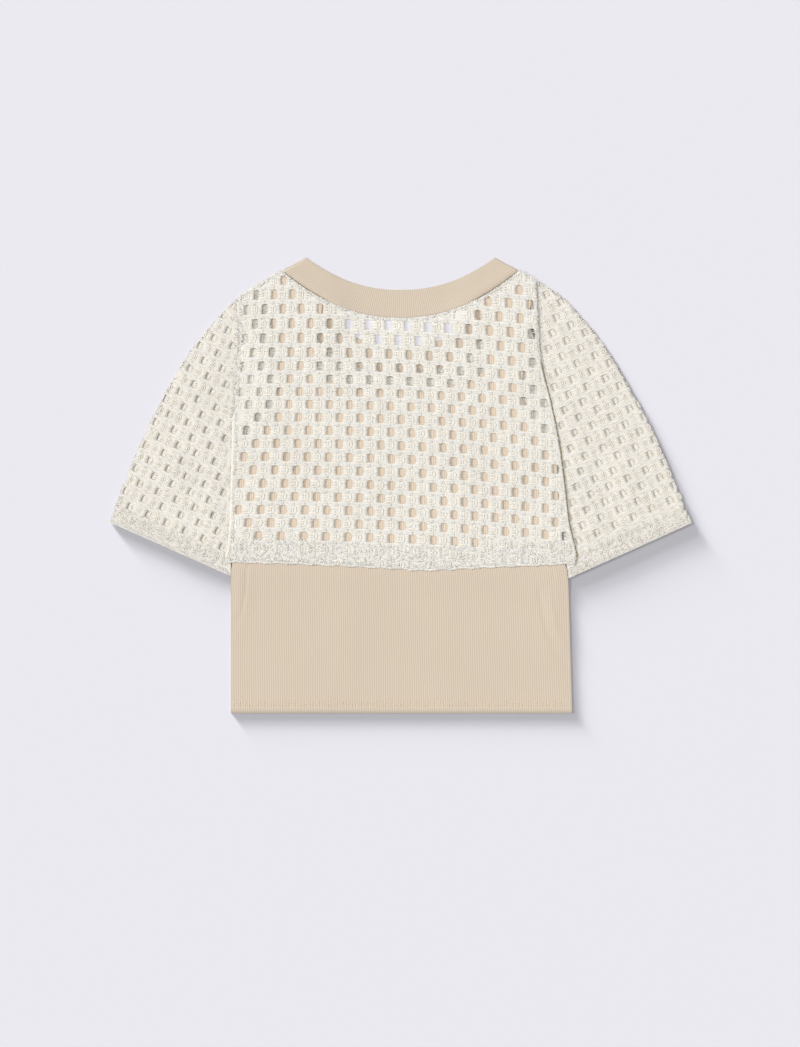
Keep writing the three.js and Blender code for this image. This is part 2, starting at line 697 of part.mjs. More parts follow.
addPiece('overlay_front', overlayFront(), KNIT_CREAM);
addPiece('overlay_back', overlayBack(), KNIT_CREAM);
addPiece('sleeve_left',
  sleeve(LEFT_SLEEVE_FOLD, LEFT_ARMHOLE, LEFT_UNDERARM, -1, LEFT_SLEEVE_FOLDS), SLEEVE_CREAM);
addPiece('sleeve_right',
  sleeve(RIGHT_SLEEVE_FOLD, RIGHT_ARMHOLE, RIGHT_UNDERARM, 1, RIGHT_SLEEVE_FOLDS), SLEEVE_CREAM);
addPiece('neckband', neckband(), RIB_BEIGE);
addPiece('tank_front', tankFront(), RIB_BEIGE);
addPiece('tank_back', tankBack(), RIB_BEIGE);

export default top;
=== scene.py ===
import json
import math

import bmesh
import bpy
import numpy as np
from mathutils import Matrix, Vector
from mathutils.bvhtree import BVHTree

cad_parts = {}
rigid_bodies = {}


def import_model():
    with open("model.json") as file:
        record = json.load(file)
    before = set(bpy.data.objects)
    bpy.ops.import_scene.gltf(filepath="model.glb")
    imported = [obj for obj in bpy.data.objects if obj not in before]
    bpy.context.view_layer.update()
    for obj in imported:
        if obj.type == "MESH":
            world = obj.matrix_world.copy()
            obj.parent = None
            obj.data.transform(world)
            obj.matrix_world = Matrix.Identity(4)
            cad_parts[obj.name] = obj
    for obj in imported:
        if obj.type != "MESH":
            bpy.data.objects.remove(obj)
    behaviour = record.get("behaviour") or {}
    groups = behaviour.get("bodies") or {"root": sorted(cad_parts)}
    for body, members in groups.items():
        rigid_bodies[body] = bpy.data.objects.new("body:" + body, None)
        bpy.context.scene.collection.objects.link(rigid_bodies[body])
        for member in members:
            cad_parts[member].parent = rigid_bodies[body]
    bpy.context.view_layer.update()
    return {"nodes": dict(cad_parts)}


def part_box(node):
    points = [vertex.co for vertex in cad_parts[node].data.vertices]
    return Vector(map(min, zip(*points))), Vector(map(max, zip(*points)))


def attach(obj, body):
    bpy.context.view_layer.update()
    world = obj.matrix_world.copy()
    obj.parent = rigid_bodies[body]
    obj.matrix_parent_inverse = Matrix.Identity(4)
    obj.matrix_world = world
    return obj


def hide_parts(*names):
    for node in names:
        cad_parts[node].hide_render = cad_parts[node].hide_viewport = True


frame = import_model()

bl_info = {
    "name": "Openwork Crop Top",
    "version": (1, 0, 0),
    "blender": (4, 5, 0),
    "location": "View3D > Sidebar > Crop Top",
    "description": "Knits an openwork overlay, its sleeves and neckband, and a rib tank over a cut pattern",
    "category": "Object",
}

# One millimetre, since sizes below read best in millimetres
MM = 0.001

# Spacing of the grids that a cloth's heights are read on, and their room round the cloth
GRID_STEP = 2.0 * MM
GRID_ROOM = 12 * MM

# How far inside a panel's outline its yarns stay, and its holes
EDGE_ROOM = 0.5 * MM
HOLE_ROOM = 1.2 * MM

# The front panel shows only through the back's holes, and is close-knit this far in from its edges
FRONT_CLOSE = 26 * MM

# Width of the close stitches beside a seam
SEAM_WIDTH = 3.0 * MM

# Below this height an overlay panel's outline is its hem
HEM_BELOW = -70 * MM

# Short stitches that close a hem or cuff and cover a seam: their spacing, jitter and sizes
HEM_TUFTS = 3.6 * MM
CUFF_TUFTS = 3.2 * MM
SEAM_TUFTS = 2.2 * MM
TUFT_JITTER = 0.35
TUFT_LENGTH = (1.4, 2.3)
TUFT_LIFT = (0.45, 0.75)
TUFT_WIDTH = 0.95 * MM
TUFT_HEIGHT = 0.6 * MM

# How far the web's holes and the raised yarns stray from their even places
WEB_WANDER = 0.16 * MM
YARN_WANDER = 0.12 * MM

# Strands of the chain between rows, as shares of its width and of the knit's thickness
STRAND_SPREAD = 0.24
STRAND_WIDTH = 0.27
STRAND_HEIGHT = 0.36
STRAND_TWIST = 0.12

# Heights of a loop's yarn and of a wrapping stitch, as shares of the knit's thickness
LOOP_HEIGHT = 0.56
RUNG_HEIGHT = 0.48

# Steps along the cords of hems and cuffs, and of the panel's sides
CORD_STEP = 1.6 * MM
SIDE_STEP = 1.5 * MM

# Stretches of the back panel's sides: the rolled edge over the right sleeve, and the left seam
RIGHT_EDGE = {"side": 1.0, "past": 130 * MM, "bottom": -76 * MM, "top": 122 * MM}
LEFT_SEAM = {"side": -1.0, "past": 140 * MM, "bottom": -74 * MM, "top": 184 * MM}

# Stretches of the web between its corners, across and up one repeat, and how square its holes are
WEB_ACROSS = 6
WEB_UP = 4
HOLE_SQUARENESS = 3.4

# How far the upper layer of a sleeve reaches on under its fold
UNDER_FOLD = 1.0 * MM

# How far a lower layer's stitches lie aside, so that its rungs show through the upper holes
BEHIND_HOLES = 4.6 * MM

# Up to this height the tank's ribs follow its side lines
TANK_UNDERARM = 30 * MM

# The tank shows up to this height, with closer rows of points below it, and creases a little beyond
TANK_SHOWN = -84 * MM
SHOWN_ROWS = 5.2 * MM
HIDDEN_ROWS = 12 * MM
CREASES_BELOW = -76 * MM

# Points across each rib, how square its top is, and how far a rib wanders along its length
RIB_SAMPLES = 3
RIB_SQUARENESS = 0.8
RIB_WANDER = 0.25 * MM

# Rows of the tank's hem seam above its edge, how far their stitches lean, and the thread's radius
HEM_STITCH_ROWS = (
    {"above": 6.6 * MM, "lean": 0.1},
    {"above": 9.0 * MM, "lean": 0.75},
    {"above": 11.4 * MM, "lean": 0.1},
)
HEM_THREAD = 0.55 * MM

# Above this height, under the overlay's hem, the tank is covered, and takes a paler copy of its rib cloth
# as painted light
TANK_COVERED = -68 * MM

# How far a sleeve's lower layer is puffed up off the surface, and how far in from its edges
SLEEVE_PUFF = 1.2 * MM
PUFF_REACH = 16 * MM

# Necklines: y = centre + depth * (|x| / half width) ^ power
BACK_NECK_INNER = {"half_width": 95.5 * MM, "centre": 195 * MM, "depth": 33 * MM, "power": 2.15}
BACK_NECK_OUTER = {"half_width": 119.5 * MM, "centre": 167.5 * MM, "depth": 47.5 * MM, "power": 2.15}
FRONT_NECK_INNER = {"half_width": 95.5 * MM, "centre": 139 * MM, "depth": 89 * MM, "power": 3.0}
FRONT_NECK_OUTER = {"half_width": 119.5 * MM, "centre": 113 * MM, "depth": 102 * MM, "power": 3.0}
BAND_FOLD_AT = 0.972

# Neckband: its thickness, and its ribs on each half
BAND_WALL = 2.0 * MM
NECK_RIBS = {"back": 112, "front": 150}

# How the body's rows of holes lean and sag, in mm, by place in tenths of a metre
# across (x) and down (y) from the hole that the lattice starts at
LATTICE_START = (0.5 * MM, 68 * MM)
LEAN = {"level": 0.37, "x": 0.5, "y": 2.33, "xx": 0.13, "xy": 3.31, "yy": -1.28, "xxy": -2.66}
SAG = {"level": 2.07, "x": 3.99, "y": 1.77, "xx": 1.73, "xy": 0.11, "yy": -1.21, "xxy": -0.26}
LEAN_REACH = 1.3
SETTLE = {"depth": 3.6 * MM, "at": 128 * MM, "spread": 45 * MM}

# Creases of the tank's shown part: a line in mm, and how wide and how high each rises or sinks
TANK_CREASES = (
    {"line": ((-153, -78), (-154.5, -106), (-158, -128), (-168, -145)), "half_width": 3.0, "rise": -0.7},
    {"line": ((-161, -86), (-163, -120)), "half_width": 5.0, "rise": 0.5},
    {"line": ((148, -79), (155, -91)), "half_width": 1.8, "rise": -0.6},
    {"line": ((139, -108), (146, -145), (158, -169), (168, -179)), "half_width": 5.0, "rise": -0.8},
    {"line": ((149, -110), (155, -142), (164, -160)), "half_width": 4.5, "rise": 0.6},
    {"line": ((-60, -176), (-20, -196)), "half_width": 16.0, "rise": 0.4},
)

# Finishes: sizes of mottling and grain, as noise scales, and strengths of bump, sheen and scatter
YARN = {"mottle": 60.0, "grain": 1400.0, "bump": 0.5, "sheen": 0.2, "scatter": 0.4}
# The dark thread that paints the rolled edge's shadow on the sleeve takes this finish
SHADOW_LINE = {"mottle": 60.0, "grain": 1400.0, "bump": 0.5, "sheen": 0.1, "scatter": 0.0}
RIB = {"mottle": 9.0, "grain": 2200.0, "bump": 0.35, "sheen": 0.3, "scatter": 0.0}
THREAD = {"mottle": 40.0, "grain": 2500.0, "bump": 0.3, "sheen": 0.1, "scatter": 0.0}

# Painted shade: how far a crevice's shade reaches, between which openings it fades, and how much of its
# red, green and blue a cloth keeps where shade is painted deep in a crevice or between two ribs
PAINTED_SHADE_REACH = 1.6 * MM
PAINTED_SHADE_OPENING = (0.2, 0.75)
PAINTED_CREVICE_SHADE = (0.60, 0.575, 0.51)
PAINTED_RIB_SHADE = (0.79, 0.77, 0.75)

# Floor and camera: half the floor's side in metres, its height, and the spot under the camera
FLOOR_HALF = 3.0
FLOOR_LEVEL = -0.2 * MM
CAMERA_OVER = (-0.5 * MM, -38.5 * MM)

# The garment's lamps: softness in degrees, and where they shine
OVERHEAD = {"softness": 14, "towards": (0.06, -0.05, -1.0)}
SIDE = {"softness": 10, "towards": (0.93, -0.2, -1.15)}

# The low lights that give the soft shadow on the floor: degrees above it, and softness
FLOOR_LAMPS = (
    {"name": "long_shadow", "elevation": 7.0, "softness": 9.0},
    {"name": "short_shadow", "elevation": 12.5, "softness": 16.0},
)
FLOOR_LIGHT_TOWARDS = (0.60, -0.80)

# Pieces that the low lights shine through, to the floor in the overlay's upper holes
LETS_LOW_LIGHT_BY = ("overlay_back_knit", "overlay_back_stitches", "right_edge_painted_shadow", "neckband_rib")

# Sleeves: how much closer their holes are than the body's, the angle of the cuff to the x axis,
# and one hole's place
SLEEVE_PITCH = 0.985
SLEEVE_ROW = 0.945
SLEEVE_LATTICE = {
    "sleeve_left": {"angle": math.radians(-23.5), "start": (-223.2 * MM, -14.6 * MM)},
    "sleeve_right": {"angle": math.radians(23.8), "start": (222.7 * MM, -8.6 * MM)},
}


def scene_settings():
    return bpy.context.scene


def linear(colour):
    """An sRGB colour as the shader's linear RGBA."""
    return [c / 12.92 if c <= 0.04045 else ((c + 0.055) / 1.055) ** 2.4 for c in colour] + [1.0]


# Meshes from arrays

def new_piece(name, vertices, polygons, material, slot, body="root"):
    """An object from a vertex array and a list of face arrays, smooth, riding on its body."""
    loops = np.concatenate([faces.ravel() for faces in polygons]).astype(np.int32)
    sizes = np.concatenate([np.full(len(faces), faces.shape[1]) for faces in polygons])
    starts = np.concatenate([[0], np.cumsum(sizes)[:-1]]).astype(np.int32)
    mesh = bpy.data.meshes.new(name)
    mesh.vertices.add(len(vertices))
    mesh.vertices.foreach_set("co", np.asarray(vertices, dtype=np.float32).ravel())
    mesh.loops.add(len(loops))
    mesh.loops.foreach_set("vertex_index", loops)
    mesh.polygons.add(len(sizes))
    mesh.polygons.foreach_set("loop_start", starts)
    mesh.update(calc_edges=True)
    mesh.validate()
    mesh.polygons.foreach_set("use_smooth", np.ones(len(mesh.polygons), dtype=bool))
    mesh.materials.append(material)
    piece = bpy.data.objects.new(name, mesh)
    bpy.context.scene.collection.objects.link(piece)
    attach(piece, body)
    return piece


class Batch:
    """Gathers copies of small shapes into one mesh."""

    def __init__(self):
        self.vertices = []
        self.polygons = {}
        self.count = 0

    def add(self, vertices, polygons):
        """vertices: (copies, points, 3); polygons: face arrays of one copy."""
        copies, points = vertices.shape[:2]
        if copies == 0:
            return
        offsets = self.count + np.arange(copies) * points
        for faces in polygons:
            moved = faces[None, :, :] + offsets[:, None, None]
            self.polygons.setdefault(faces.shape[1], []).append(moved.reshape(-1, faces.shape[1]))
        self.vertices.append(vertices.reshape(-1, 3))
        self.count += copies * points

    def piece(self, name, material, slot):
        polygons = [np.concatenate(faces) for faces in self.polygons.values()]
        return new_piece(name, np.concatenate(self.vertices), polygons, material, slot)


def tube(path, widths, heights, sides, closed=False):
    """A yarn along a path: widths across it in the cloth's plane, heights along z."""
    path = np.asarray(path, dtype=float)
    count = len(path)
    if closed:
        along = np.roll(path, -1, axis=0) - np.roll(path, 1, axis=0)
    else:
        along = np.gradient(path, axis=0)
    across = np.stack([-along[:, 1], along[:, 0], np.zeros(count)], axis=1)
    across /= np.linalg.norm(across, axis=1)[:, None]
    angles = np.arange(sides) * 2.0 * math.pi / sides
    widths = np.broadcast_to(widths, (count,))
    heights = np.broadcast_to(heights, (count,))
    ring = across[:, None, :] * (np.cos(angles)[None, :] * widths[:, None])[:, :, None]
    ring[:, :, 2] += np.sin(angles)[None, :] * heights[:, None]
    vertices = (path[:, None, :] + ring).reshape(-1, 3)
    rows = np.arange(count if closed else count - 1)
    sections = np.arange(sides)
    a = (rows[:, None] * sides + sections[None, :]).ravel()
    b = (rows[:, None] * sides + (sections[None, :] + 1) % sides).ravel()
    following = ((rows + 1) % count)[:, None] * sides
    c = (following + (sections[None, :] + 1) % sides).ravel()
    d = (following + sections[None, :]).ravel()
    polygons = [np.stack([a, d, c, b], axis=1)]
    if not closed:
        first = sections[None, :]
        last = ((count - 1) * sides + sections[::-1])[None, :]
        polygons.append(np.concatenate([first, last]))
    return vertices, polygons


def two_layers(top, under, polygons):
    """A closed sheet from the points of its two layers, with any further columns, and its top faces."""
    count = len(top)
    edges = {}
    for faces in polygons:
        following = np.roll(faces, -1, axis=1)
        for start, end in zip(faces.ravel().tolist(), following.ravel().tolist()):
            if edges.pop((end, start), None) is None:
                edges[(start, end)] = True
    rim = np.array([(start, start + count, end + count, end) for start, end in edges])
    sheets = list(polygons) + [faces[:, ::-1] + count for faces in polygons] + [rim]
    vertices = np.concatenate([top, under])
    used = np.unique(np.concatenate([faces.ravel() for faces in sheets]))
    renumber = np.full(len(vertices), -1)
    renumber[used] = np.arange(len(used))
    return vertices[used], [renumber[faces] for faces in sheets]


# Cloth pattern pieces, read from the frame

def outline_of(node):
    """The outline of a cloth piece seen from above, counter-clockwise, as an array of points."""
    work = bmesh.new()
    work.from_mesh(frame["nodes"][node].data)
    bmesh.ops.remove_doubles(work, verts=work.verts, dist=1e-6)
    ahead = {}
    for face in work.faces:
        if face.normal.z <= 1e-3:
            continue
        for corner in face.loops:
            across = corner.link_loop_radial_next.face
            if across.normal.z <= 1e-3:
                ahead.setdefault(corner.vert, []).append(corner.link_loop_next.vert)
    loops = []
    while ahead:
        start = next(iter(ahead))
        loop = [start]
        while loop[-1] in ahead:
            choices = ahead[loop[-1]]
            chosen = max(choices, key=lambda vertex: right_turn(loop, vertex))
            choices.remove(chosen)
            if not choices:
                del ahead[loop[-1]]
            loop.append(chosen)
            if chosen is start:
                break
        loops.append(np.array([(vertex.co.x, vertex.co.y) for vertex in loop]))
    work.free()
    outline = max(loops, key=lambda loop: abs(polygon_area(loop)))
    steps = np.hypot(*(np.roll(outline, -1, axis=0) - outline).T)
    return outline[steps > 1e-5]


def right_turn(loop, vertex):
    """How far to the right a path turns when it goes on to a vertex."""
    if len(loop) < 2:
        return 0.0
    came = loop[-1].co - loop[-2].co
    goes = vertex.co - loop[-1].co
    return -math.atan2(came.x * goes.y - came.y * goes.x, came.x * goes.x + came.y * goes.y)


def polygon_area(loop):
    x, y = loop[:, 0], loop[:, 1]
    return 0.5 * float(np.sum(x * np.roll(y, -1) - np.roll(x, -1) * y))


def distance_inside(points, outline):
    """Distance from each point to an outline, positive inside it."""
    start = outline
    along = np.roll(outline, -1, axis=0) - outline
    length2 = np.maximum((along ** 2).sum(axis=1), 1e-16)
    result = np.empty(len(points))
    block = 4000
    for low in range(0, len(points), block):
        part = points[low:low + block]
        to_point = part[:, None, :] - start[None, :, :]
        share = np.clip((to_point * along).sum(axis=2) / length2, 0.0, 1.0)
        nearest = to_point - share[:, :, None] * along
        distance = np.sqrt((nearest ** 2).sum(axis=2)).min(axis=1)
        y = part[:, None, 1]
        x = part[:, None, 0]
        end = start + along
        crosses = (start[:, 1] > y) != (end[:, 1] > y)
        slope = along[:, 0] / np.where(along[:, 1] == 0, 1e-12, along[:, 1])
        at = slope * (y - start[:, 1]) + start[:, 0]
        inside = (crosses & (x < at)).sum(axis=1) % 2 == 1
        result[low:low + block] = np.where(inside, distance, -distance)
    return result


def distance_from_line(points, line):
    """Signed distance from each point to an open line, positive on its right."""
    start = line[:-1]
    along = line[1:] - line[:-1]
    length2 = np.maximum((along ** 2).sum(axis=1), 1e-16)
    result = np.empty(len(points))
    block = 4000
    for low in range(0, len(points), block):
        to_point = points[low:low + block, None, :] - start[None, :, :]
        share = np.clip((to_point * along).sum(axis=2) / length2, 0.0, 1.0)
        rest = to_point - share[:, :, None] * along
        distance = np.sqrt((rest ** 2).sum(axis=2))
        nearest = distance.argmin(axis=1)
        row = np.arange(len(nearest))
        turn = (along[nearest, 0] * to_point[row, nearest, 1]
                - along[nearest, 1] * to_point[row, nearest, 0])
        result[low:low + block] = -np.sign(turn) * distance[row, nearest]
    return result


class Cloth:
    """Heights and outline of a packed cloth piece on a grid, for laying yarns on it."""

    def __init__(self, node):
        self.node = node
        low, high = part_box(node)
        self.low = np.array([low[0] - GRID_ROOM, low[1] - GRID_ROOM])
        size = np.array([high[0] - low[0] + 2 * GRID_ROOM, high[1] - low[1] + 2 * GRID_ROOM])
        self.shape = (np.ceil(size / GRID_STEP).astype(int) + 1)
        xs = self.low[0] + np.arange(self.shape[0]) * GRID_STEP
        ys = self.low[1] + np.arange(self.shape[1]) * GRID_STEP
        grid_x, grid_y = np.meshgrid(xs, ys, indexing="ij")
        mesh = frame["nodes"][node].data
        tree = BVHTree.FromPolygons([v.co for v in mesh.vertices], [p.vertices for p in mesh.polygons])
        self.top = self.cast(tree, grid_x, grid_y, -1.0)
        self.underside = self.cast(tree, grid_x, grid_y, 1.0)
        self.outline = outline_of(node)
        points = np.stack([grid_x.ravel(), grid_y.ravel()], axis=1)
        self.distance = distance_inside(points, self.outline).reshape(grid_x.shape)
        self.slope_x, self.slope_y = np.gradient(self.distance, GRID_STEP)

    def cast(self, tree, grid_x, grid_y, direction):
        heights = np.full(grid_x.shape, np.nan)
        ray = Vector((0.0, 0.0, direction))
        start = -direction * 0.1
        for i, j in np.ndindex(grid_x.shape):
            hit = tree.ray_cast(Vector((grid_x[i, j], grid_y[i, j], start)), ray)[0]
            if hit is not None:
                heights[i, j] = hit.z
        return smooth_grid(fill_grid(heights))

    def sample(self, values, x, y):
        u = np.clip((x - self.low[0]) / GRID_STEP, 0, self.shape[0] - 1.001)
        v = np.clip((y - self.low[1]) / GRID_STEP, 0, self.shape[1] - 1.001)
        i, j = u.astype(int), v.astype(int)
        u, v = u - i, v - j
        return ((values[i, j] * (1 - u) + values[i + 1, j] * u) * (1 - v)
                + (values[i, j + 1] * (1 - u) + values[i + 1, j + 1] * u) * v)

    def inside(self, x, y):
        return self.sample(self.distance, x, y)

    def keep_in(self, x, y, room):
        """Points pulled straight back inside the outline where they are past it."""
        short = np.maximum(room - self.inside(x, y), 0.0)
        return (x + short * self.sample(self.slope_x, x, y),
                y + short * self.sample(self.slope_y, x, y))


def fill_grid(heights):
    """Unknown heights take the mean of their known neighbours, ring by ring."""
    for _ in range(8):
        known = ~np.isnan(heights)
        values = np.where(known, heights, 0.0)
        total = np.zeros_like(values)
        count = np.zeros_like(values)
        for di, dj in ((1, 0), (-1, 0), (0, 1), (0, -1)):
            total += np.roll(values, (di, dj), axis=(0, 1))
            count += np.roll(known.astype(float), (di, dj), axis=(0, 1))
        reach = ~known & (count > 0)
        heights[reach] = total[reach] / count[reach]
    return np.nan_to_num(heights, nan=float(np.nanmean(heights)))


def smooth_grid(heights):
    for _ in range(3):
        padded = np.pad(heights, 1, mode="edge")
        heights = (0.5 * heights + 0.125 * (padded[2:, 1:-1] + padded[:-2, 1:-1]
                                            + padded[1:-1, 2:] + padded[1:-1, :-2]))
    return heights


# Materials

def principled(name):
    material = bpy.data.materials.new(name)
    material.use_nodes = True
    shader = material.node_tree.nodes["Principled BSDF"]
    return material, material.node_tree, shader


def open_to_light(tree):
    """How open each place of a knit is, from 0 in a crevice between yarns to 1 on top of them; the material
    paints shade where it is low.
    """
    shade = tree.nodes.new("ShaderNodeAmbientOcclusion")
    shade.samples = 8
    shade.inputs["Distance"].default_value = PAINTED_SHADE_REACH
    share = tree.nodes.new("ShaderNodeMapRange")
    share.inputs["From Min"].default_value = PAINTED_SHADE_OPENING[0]
    share.inputs["From Max"].default_value = PAINTED_SHADE_OPENING[1]
    tree.links.new(shade.outputs["AO"], share.inputs["Value"])
    return share.outputs["Result"]


def top_of_rib(tree):
    """How near each place of a ribbed cloth is to the top of its rib, as its mesh says; the material paints
    shade where it is low.
    """
    ridge = tree.nodes.new("ShaderNodeAttribute")
    ridge.attribute_name = "ridge"
    return ridge.outputs["Fac"]


def cloth_material(name, colour, finish, shade, shade_tint):
    """Matte yarn: soft mottling, fine grain, painted shade in its hollows, a fibre bump and a light sheen.
    """
    if name in bpy.data.materials:
        return bpy.data.materials[name]
    material, tree, shader = principled(name)
    nodes, links = tree.nodes, tree.links
    place = nodes.new("ShaderNodeTexCoord")
    soft = nodes.new("ShaderNodeTexNoise")
    soft.inputs["Scale"].default_value = finish["mottle"]
    soft.inputs["Detail"].default_value = 3.0
    fine = nodes.new("ShaderNodeTexNoise")
    fine.inputs["Scale"].default_value = finish["grain"]
    fine.inputs["Detail"].default_value = 2.0
    links.new(place.outputs["Object"], soft.inputs["Vector"])
    links.new(place.outputs["Object"], fine.inputs["Vector"])
    blend = nodes.new("ShaderNodeMath")
    blend.operation = "MULTIPLY_ADD"
    blend.inputs[1].default_value = 0.45
    links.new(soft.outputs["Fac"], blend.inputs[0])
    half = nodes.new("ShaderNodeMath")
    half.operation = "MULTIPLY"
    half.inputs[1].default_value = 0.55
    links.new(fine.outputs["Fac"], half.inputs[0])
    links.new(half.outputs[0], blend.inputs[2])
    ramp = nodes.new("ShaderNodeValToRGB")
    base = linear(colour)
    ramp.color_ramp.elements[0].position = 0.3
    ramp.color_ramp.elements[0].color = [c * 0.9 for c in base[:3]] + [1.0]
    ramp.color_ramp.elements[1].position = 0.7
    ramp.color_ramp.elements[1].color = [min(1.0, c * 1.06) for c in base[:3]] + [1.0]
    links.new(blend.outputs[0], ramp.inputs["Fac"])
    # Painted shade: the colour goes toward the shade tint where the shade factor is low
    painted_shade = nodes.new("ShaderNodeMixRGB")
    painted_shade.inputs["Color1"].default_value = [c * d for c, d in zip(base, shade_tint)] + [1.0]
    links.new(shade(tree), painted_shade.inputs["Fac"])
    links.new(ramp.outputs["Color"], painted_shade.inputs["Color2"])
    links.new(painted_shade.outputs["Color"], shader.inputs["Base Color"])
    shader.inputs["Roughness"].default_value = 0.92
    shader.inputs["Sheen Weight"].default_value = finish["sheen"]
    shader.inputs["Sheen Roughness"].default_value = 0.6
    shader.inputs["Specular IOR Level"].default_value = 0.25
    shader.inputs["Subsurface Weight"].default_value = finish["scatter"]
    shader.inputs["Subsurface Radius"].default_value = (1.0, 0.9, 0.75)
    shader.inputs["Subsurface Scale"].default_value = 1.6 * MM
    relief = nodes.new("ShaderNodeBump")
    relief.inputs["Strength"].default_value = finish["bump"]
    relief.inputs["Distance"].default_value = 0.2 * MM
    links.new(fine.outputs["Fac"], relief.inputs["Height"])
    links.new(relief.outputs["Normal"], shader.inputs["Normal"])
    return material


# These yarns and the stitch thread take painted shade in their crevices
def overlay_yarn():
    colour = scene_settings().croptop_knit.body_colour
    return cloth_material("overlay_yarn", colour, YARN, open_to_light, PAINTED_CREVICE_SHADE)


def sleeve_yarn():
    colour = scene_settings().croptop_knit.sleeve_colour
    return cloth_material("sleeve_yarn", colour, YARN, open_to_light, PAINTED_CREVICE_SHADE)


def painted_shadow_thread():
    colour = scene_settings().croptop_knit.shadow_line_colour
    return cloth_material("painted_shadow_thread", colour, SHADOW_LINE, open_to_light, PAINTED_CREVICE_SHADE)


# The rib cloth takes painted shade in the valleys between its ribs
def rib_cloth():
    colour = scene_settings().croptop_rib.colour
    return cloth_material("rib_cloth", colour, RIB, top_of_rib, PAINTED_RIB_SHADE)


def covered_rib_painted_light():
    """The rib cloth beneath the overlay, a paler copy: painted light, standing in for the light that the
    open knit scatters onto it.
    """
    colour = scene_settings().croptop_rib.covered_painted_light_colour
    return cloth_material("covered_rib_painted_light", colour, RIB, top_of_rib, PAINTED_RIB_SHADE)


def stitch_thread():
    colour = scene_settings().croptop_rib.thread_colour
    return cloth_material("stitch_thread", colour, THREAD, open_to_light, PAINTED_CREVICE_SHADE)


def floor_paper():
    material, tree, shader = principled("floor_paper")
    shader.inputs["Base Color"].default_value = linear(scene_settings().croptop_stage.floor_colour)
    shader.inputs["Roughness"].default_value = 0.95
    shader.inputs["Specular IOR Level"].default_value = 0.1
    return material


# The openwork knit: a felted web with holes, and the yarns that stand up from it

def web_rings(knit, hole):
    """One repeat of the web round its hole: the places and heights of its three rings."""
    low = [(2.0 * k / WEB_ACROSS - 1.0, -1.0) for k in range(WEB_ACROSS)]
    side = [(1.0, 2.0 * k / WEB_UP - 1.0) for k in range(WEB_UP)]
    edge = np.array(low + side)
    edge = np.concatenate([edge, -edge])
    angle = np.arctan2(edge[:, 1], edge[:, 0])
    reach = (np.abs(np.cos(angle)) ** HOLE_SQUARENESS
             + np.abs(np.sin(angle)) ** HOLE_SQUARENESS) ** (-1.0 / HOLE_SQUARENESS)
    outer = edge * np.array([knit.pitch, knit.row]) * 0.5
    inner = np.stack([reach * np.cos(angle) * knit.hole_width * hole * 0.5,
                      reach * np.sin(angle) * knit.hole_height * hole * 0.5], axis=1)
    middle = inner + 0.4 * (outer - inner)
    in_loop = (np.abs(edge[:, 0]) > 0.99) & (np.abs(edge[:, 1]) < 0.01)
    thin = np.array([np.full(len(edge), knit.web * 0.32), np.zeros(len(edge)),
                     np.where(in_loop, knit.web * 0.42, 0.0)])
    return np.array([inner, middle, outer]), thin


def knit_web(lay, knit, cells, to_place, in_hem, rng, hole=1.0, close=HOLE_ROOM):
    """The web of the knit over a cloth: open at its holes, closed in a hem and beside an edge."""
    rings, thin = web_rings(knit, hole)
    around = rings.shape[1]
    spots = cells[:, None, None, :] + rings[None, :, :, :]
    unit = np.array([knit.pitch / (2 * WEB_ACROSS), knit.row / (2 * WEB_UP)])
    keys = np.round((spots[:, 2] - cells[0]) / unit).astype(int)
    keys = (keys[:, :, 0] * 10000 + keys[:, :, 1]).ravel()
    first, shared = np.unique(keys, return_index=True, return_inverse=True)[1:]
    outer = shared.reshape(len(cells), around)
    middle = len(first) + np.arange(len(cells) * around).reshape(len(cells), around)
    inner = middle + len(cells) * around
    wander = rng.normal(0.0, WEB_WANDER, spots[:, :2].shape)
    places = np.concatenate([spots[:, 2].reshape(-1, 2)[first],
                             (spots[:, 1] + wander[:, 1] * 0.5).reshape(-1, 2),
                             (spots[:, 0] + wander[:, 0]).reshape(-1, 2)])
    thin = np.concatenate([np.tile(thin[2], len(cells))[first], np.tile(thin[1], len(cells)),
                           np.tile(thin[0], len(cells))])
    x, y = to_place(places[:, 0], places[:, 1])
    centre = knit.thickness * 0.5
    top = np.stack(lay.place(x, y, centre + knit.web * 0.5 - thin), axis=1)
    under = np.stack(lay.place(x, y, centre - knit.web * 0.5 + thin), axis=1)
    room = lay.room(x, y)
    closed = (room[inner] < close).any(axis=1) | (in_hem(x[inner], y[inner]).mean(axis=1) > 0.0)
    quads = []
    for near, far in ((inner, middle), (middle, outer)):
        quads.append(np.stack([near, far, np.roll(far, -1, axis=1), np.roll(near, -1, axis=1)], axis=2))
    quads = np.concatenate(quads).reshape(-1, 4)
    caps = inner[closed]
    kept = [faces[(room[faces] > 0.0).any(axis=1)] for faces in (quads, caps)]
    return two_layers(top, under, kept)


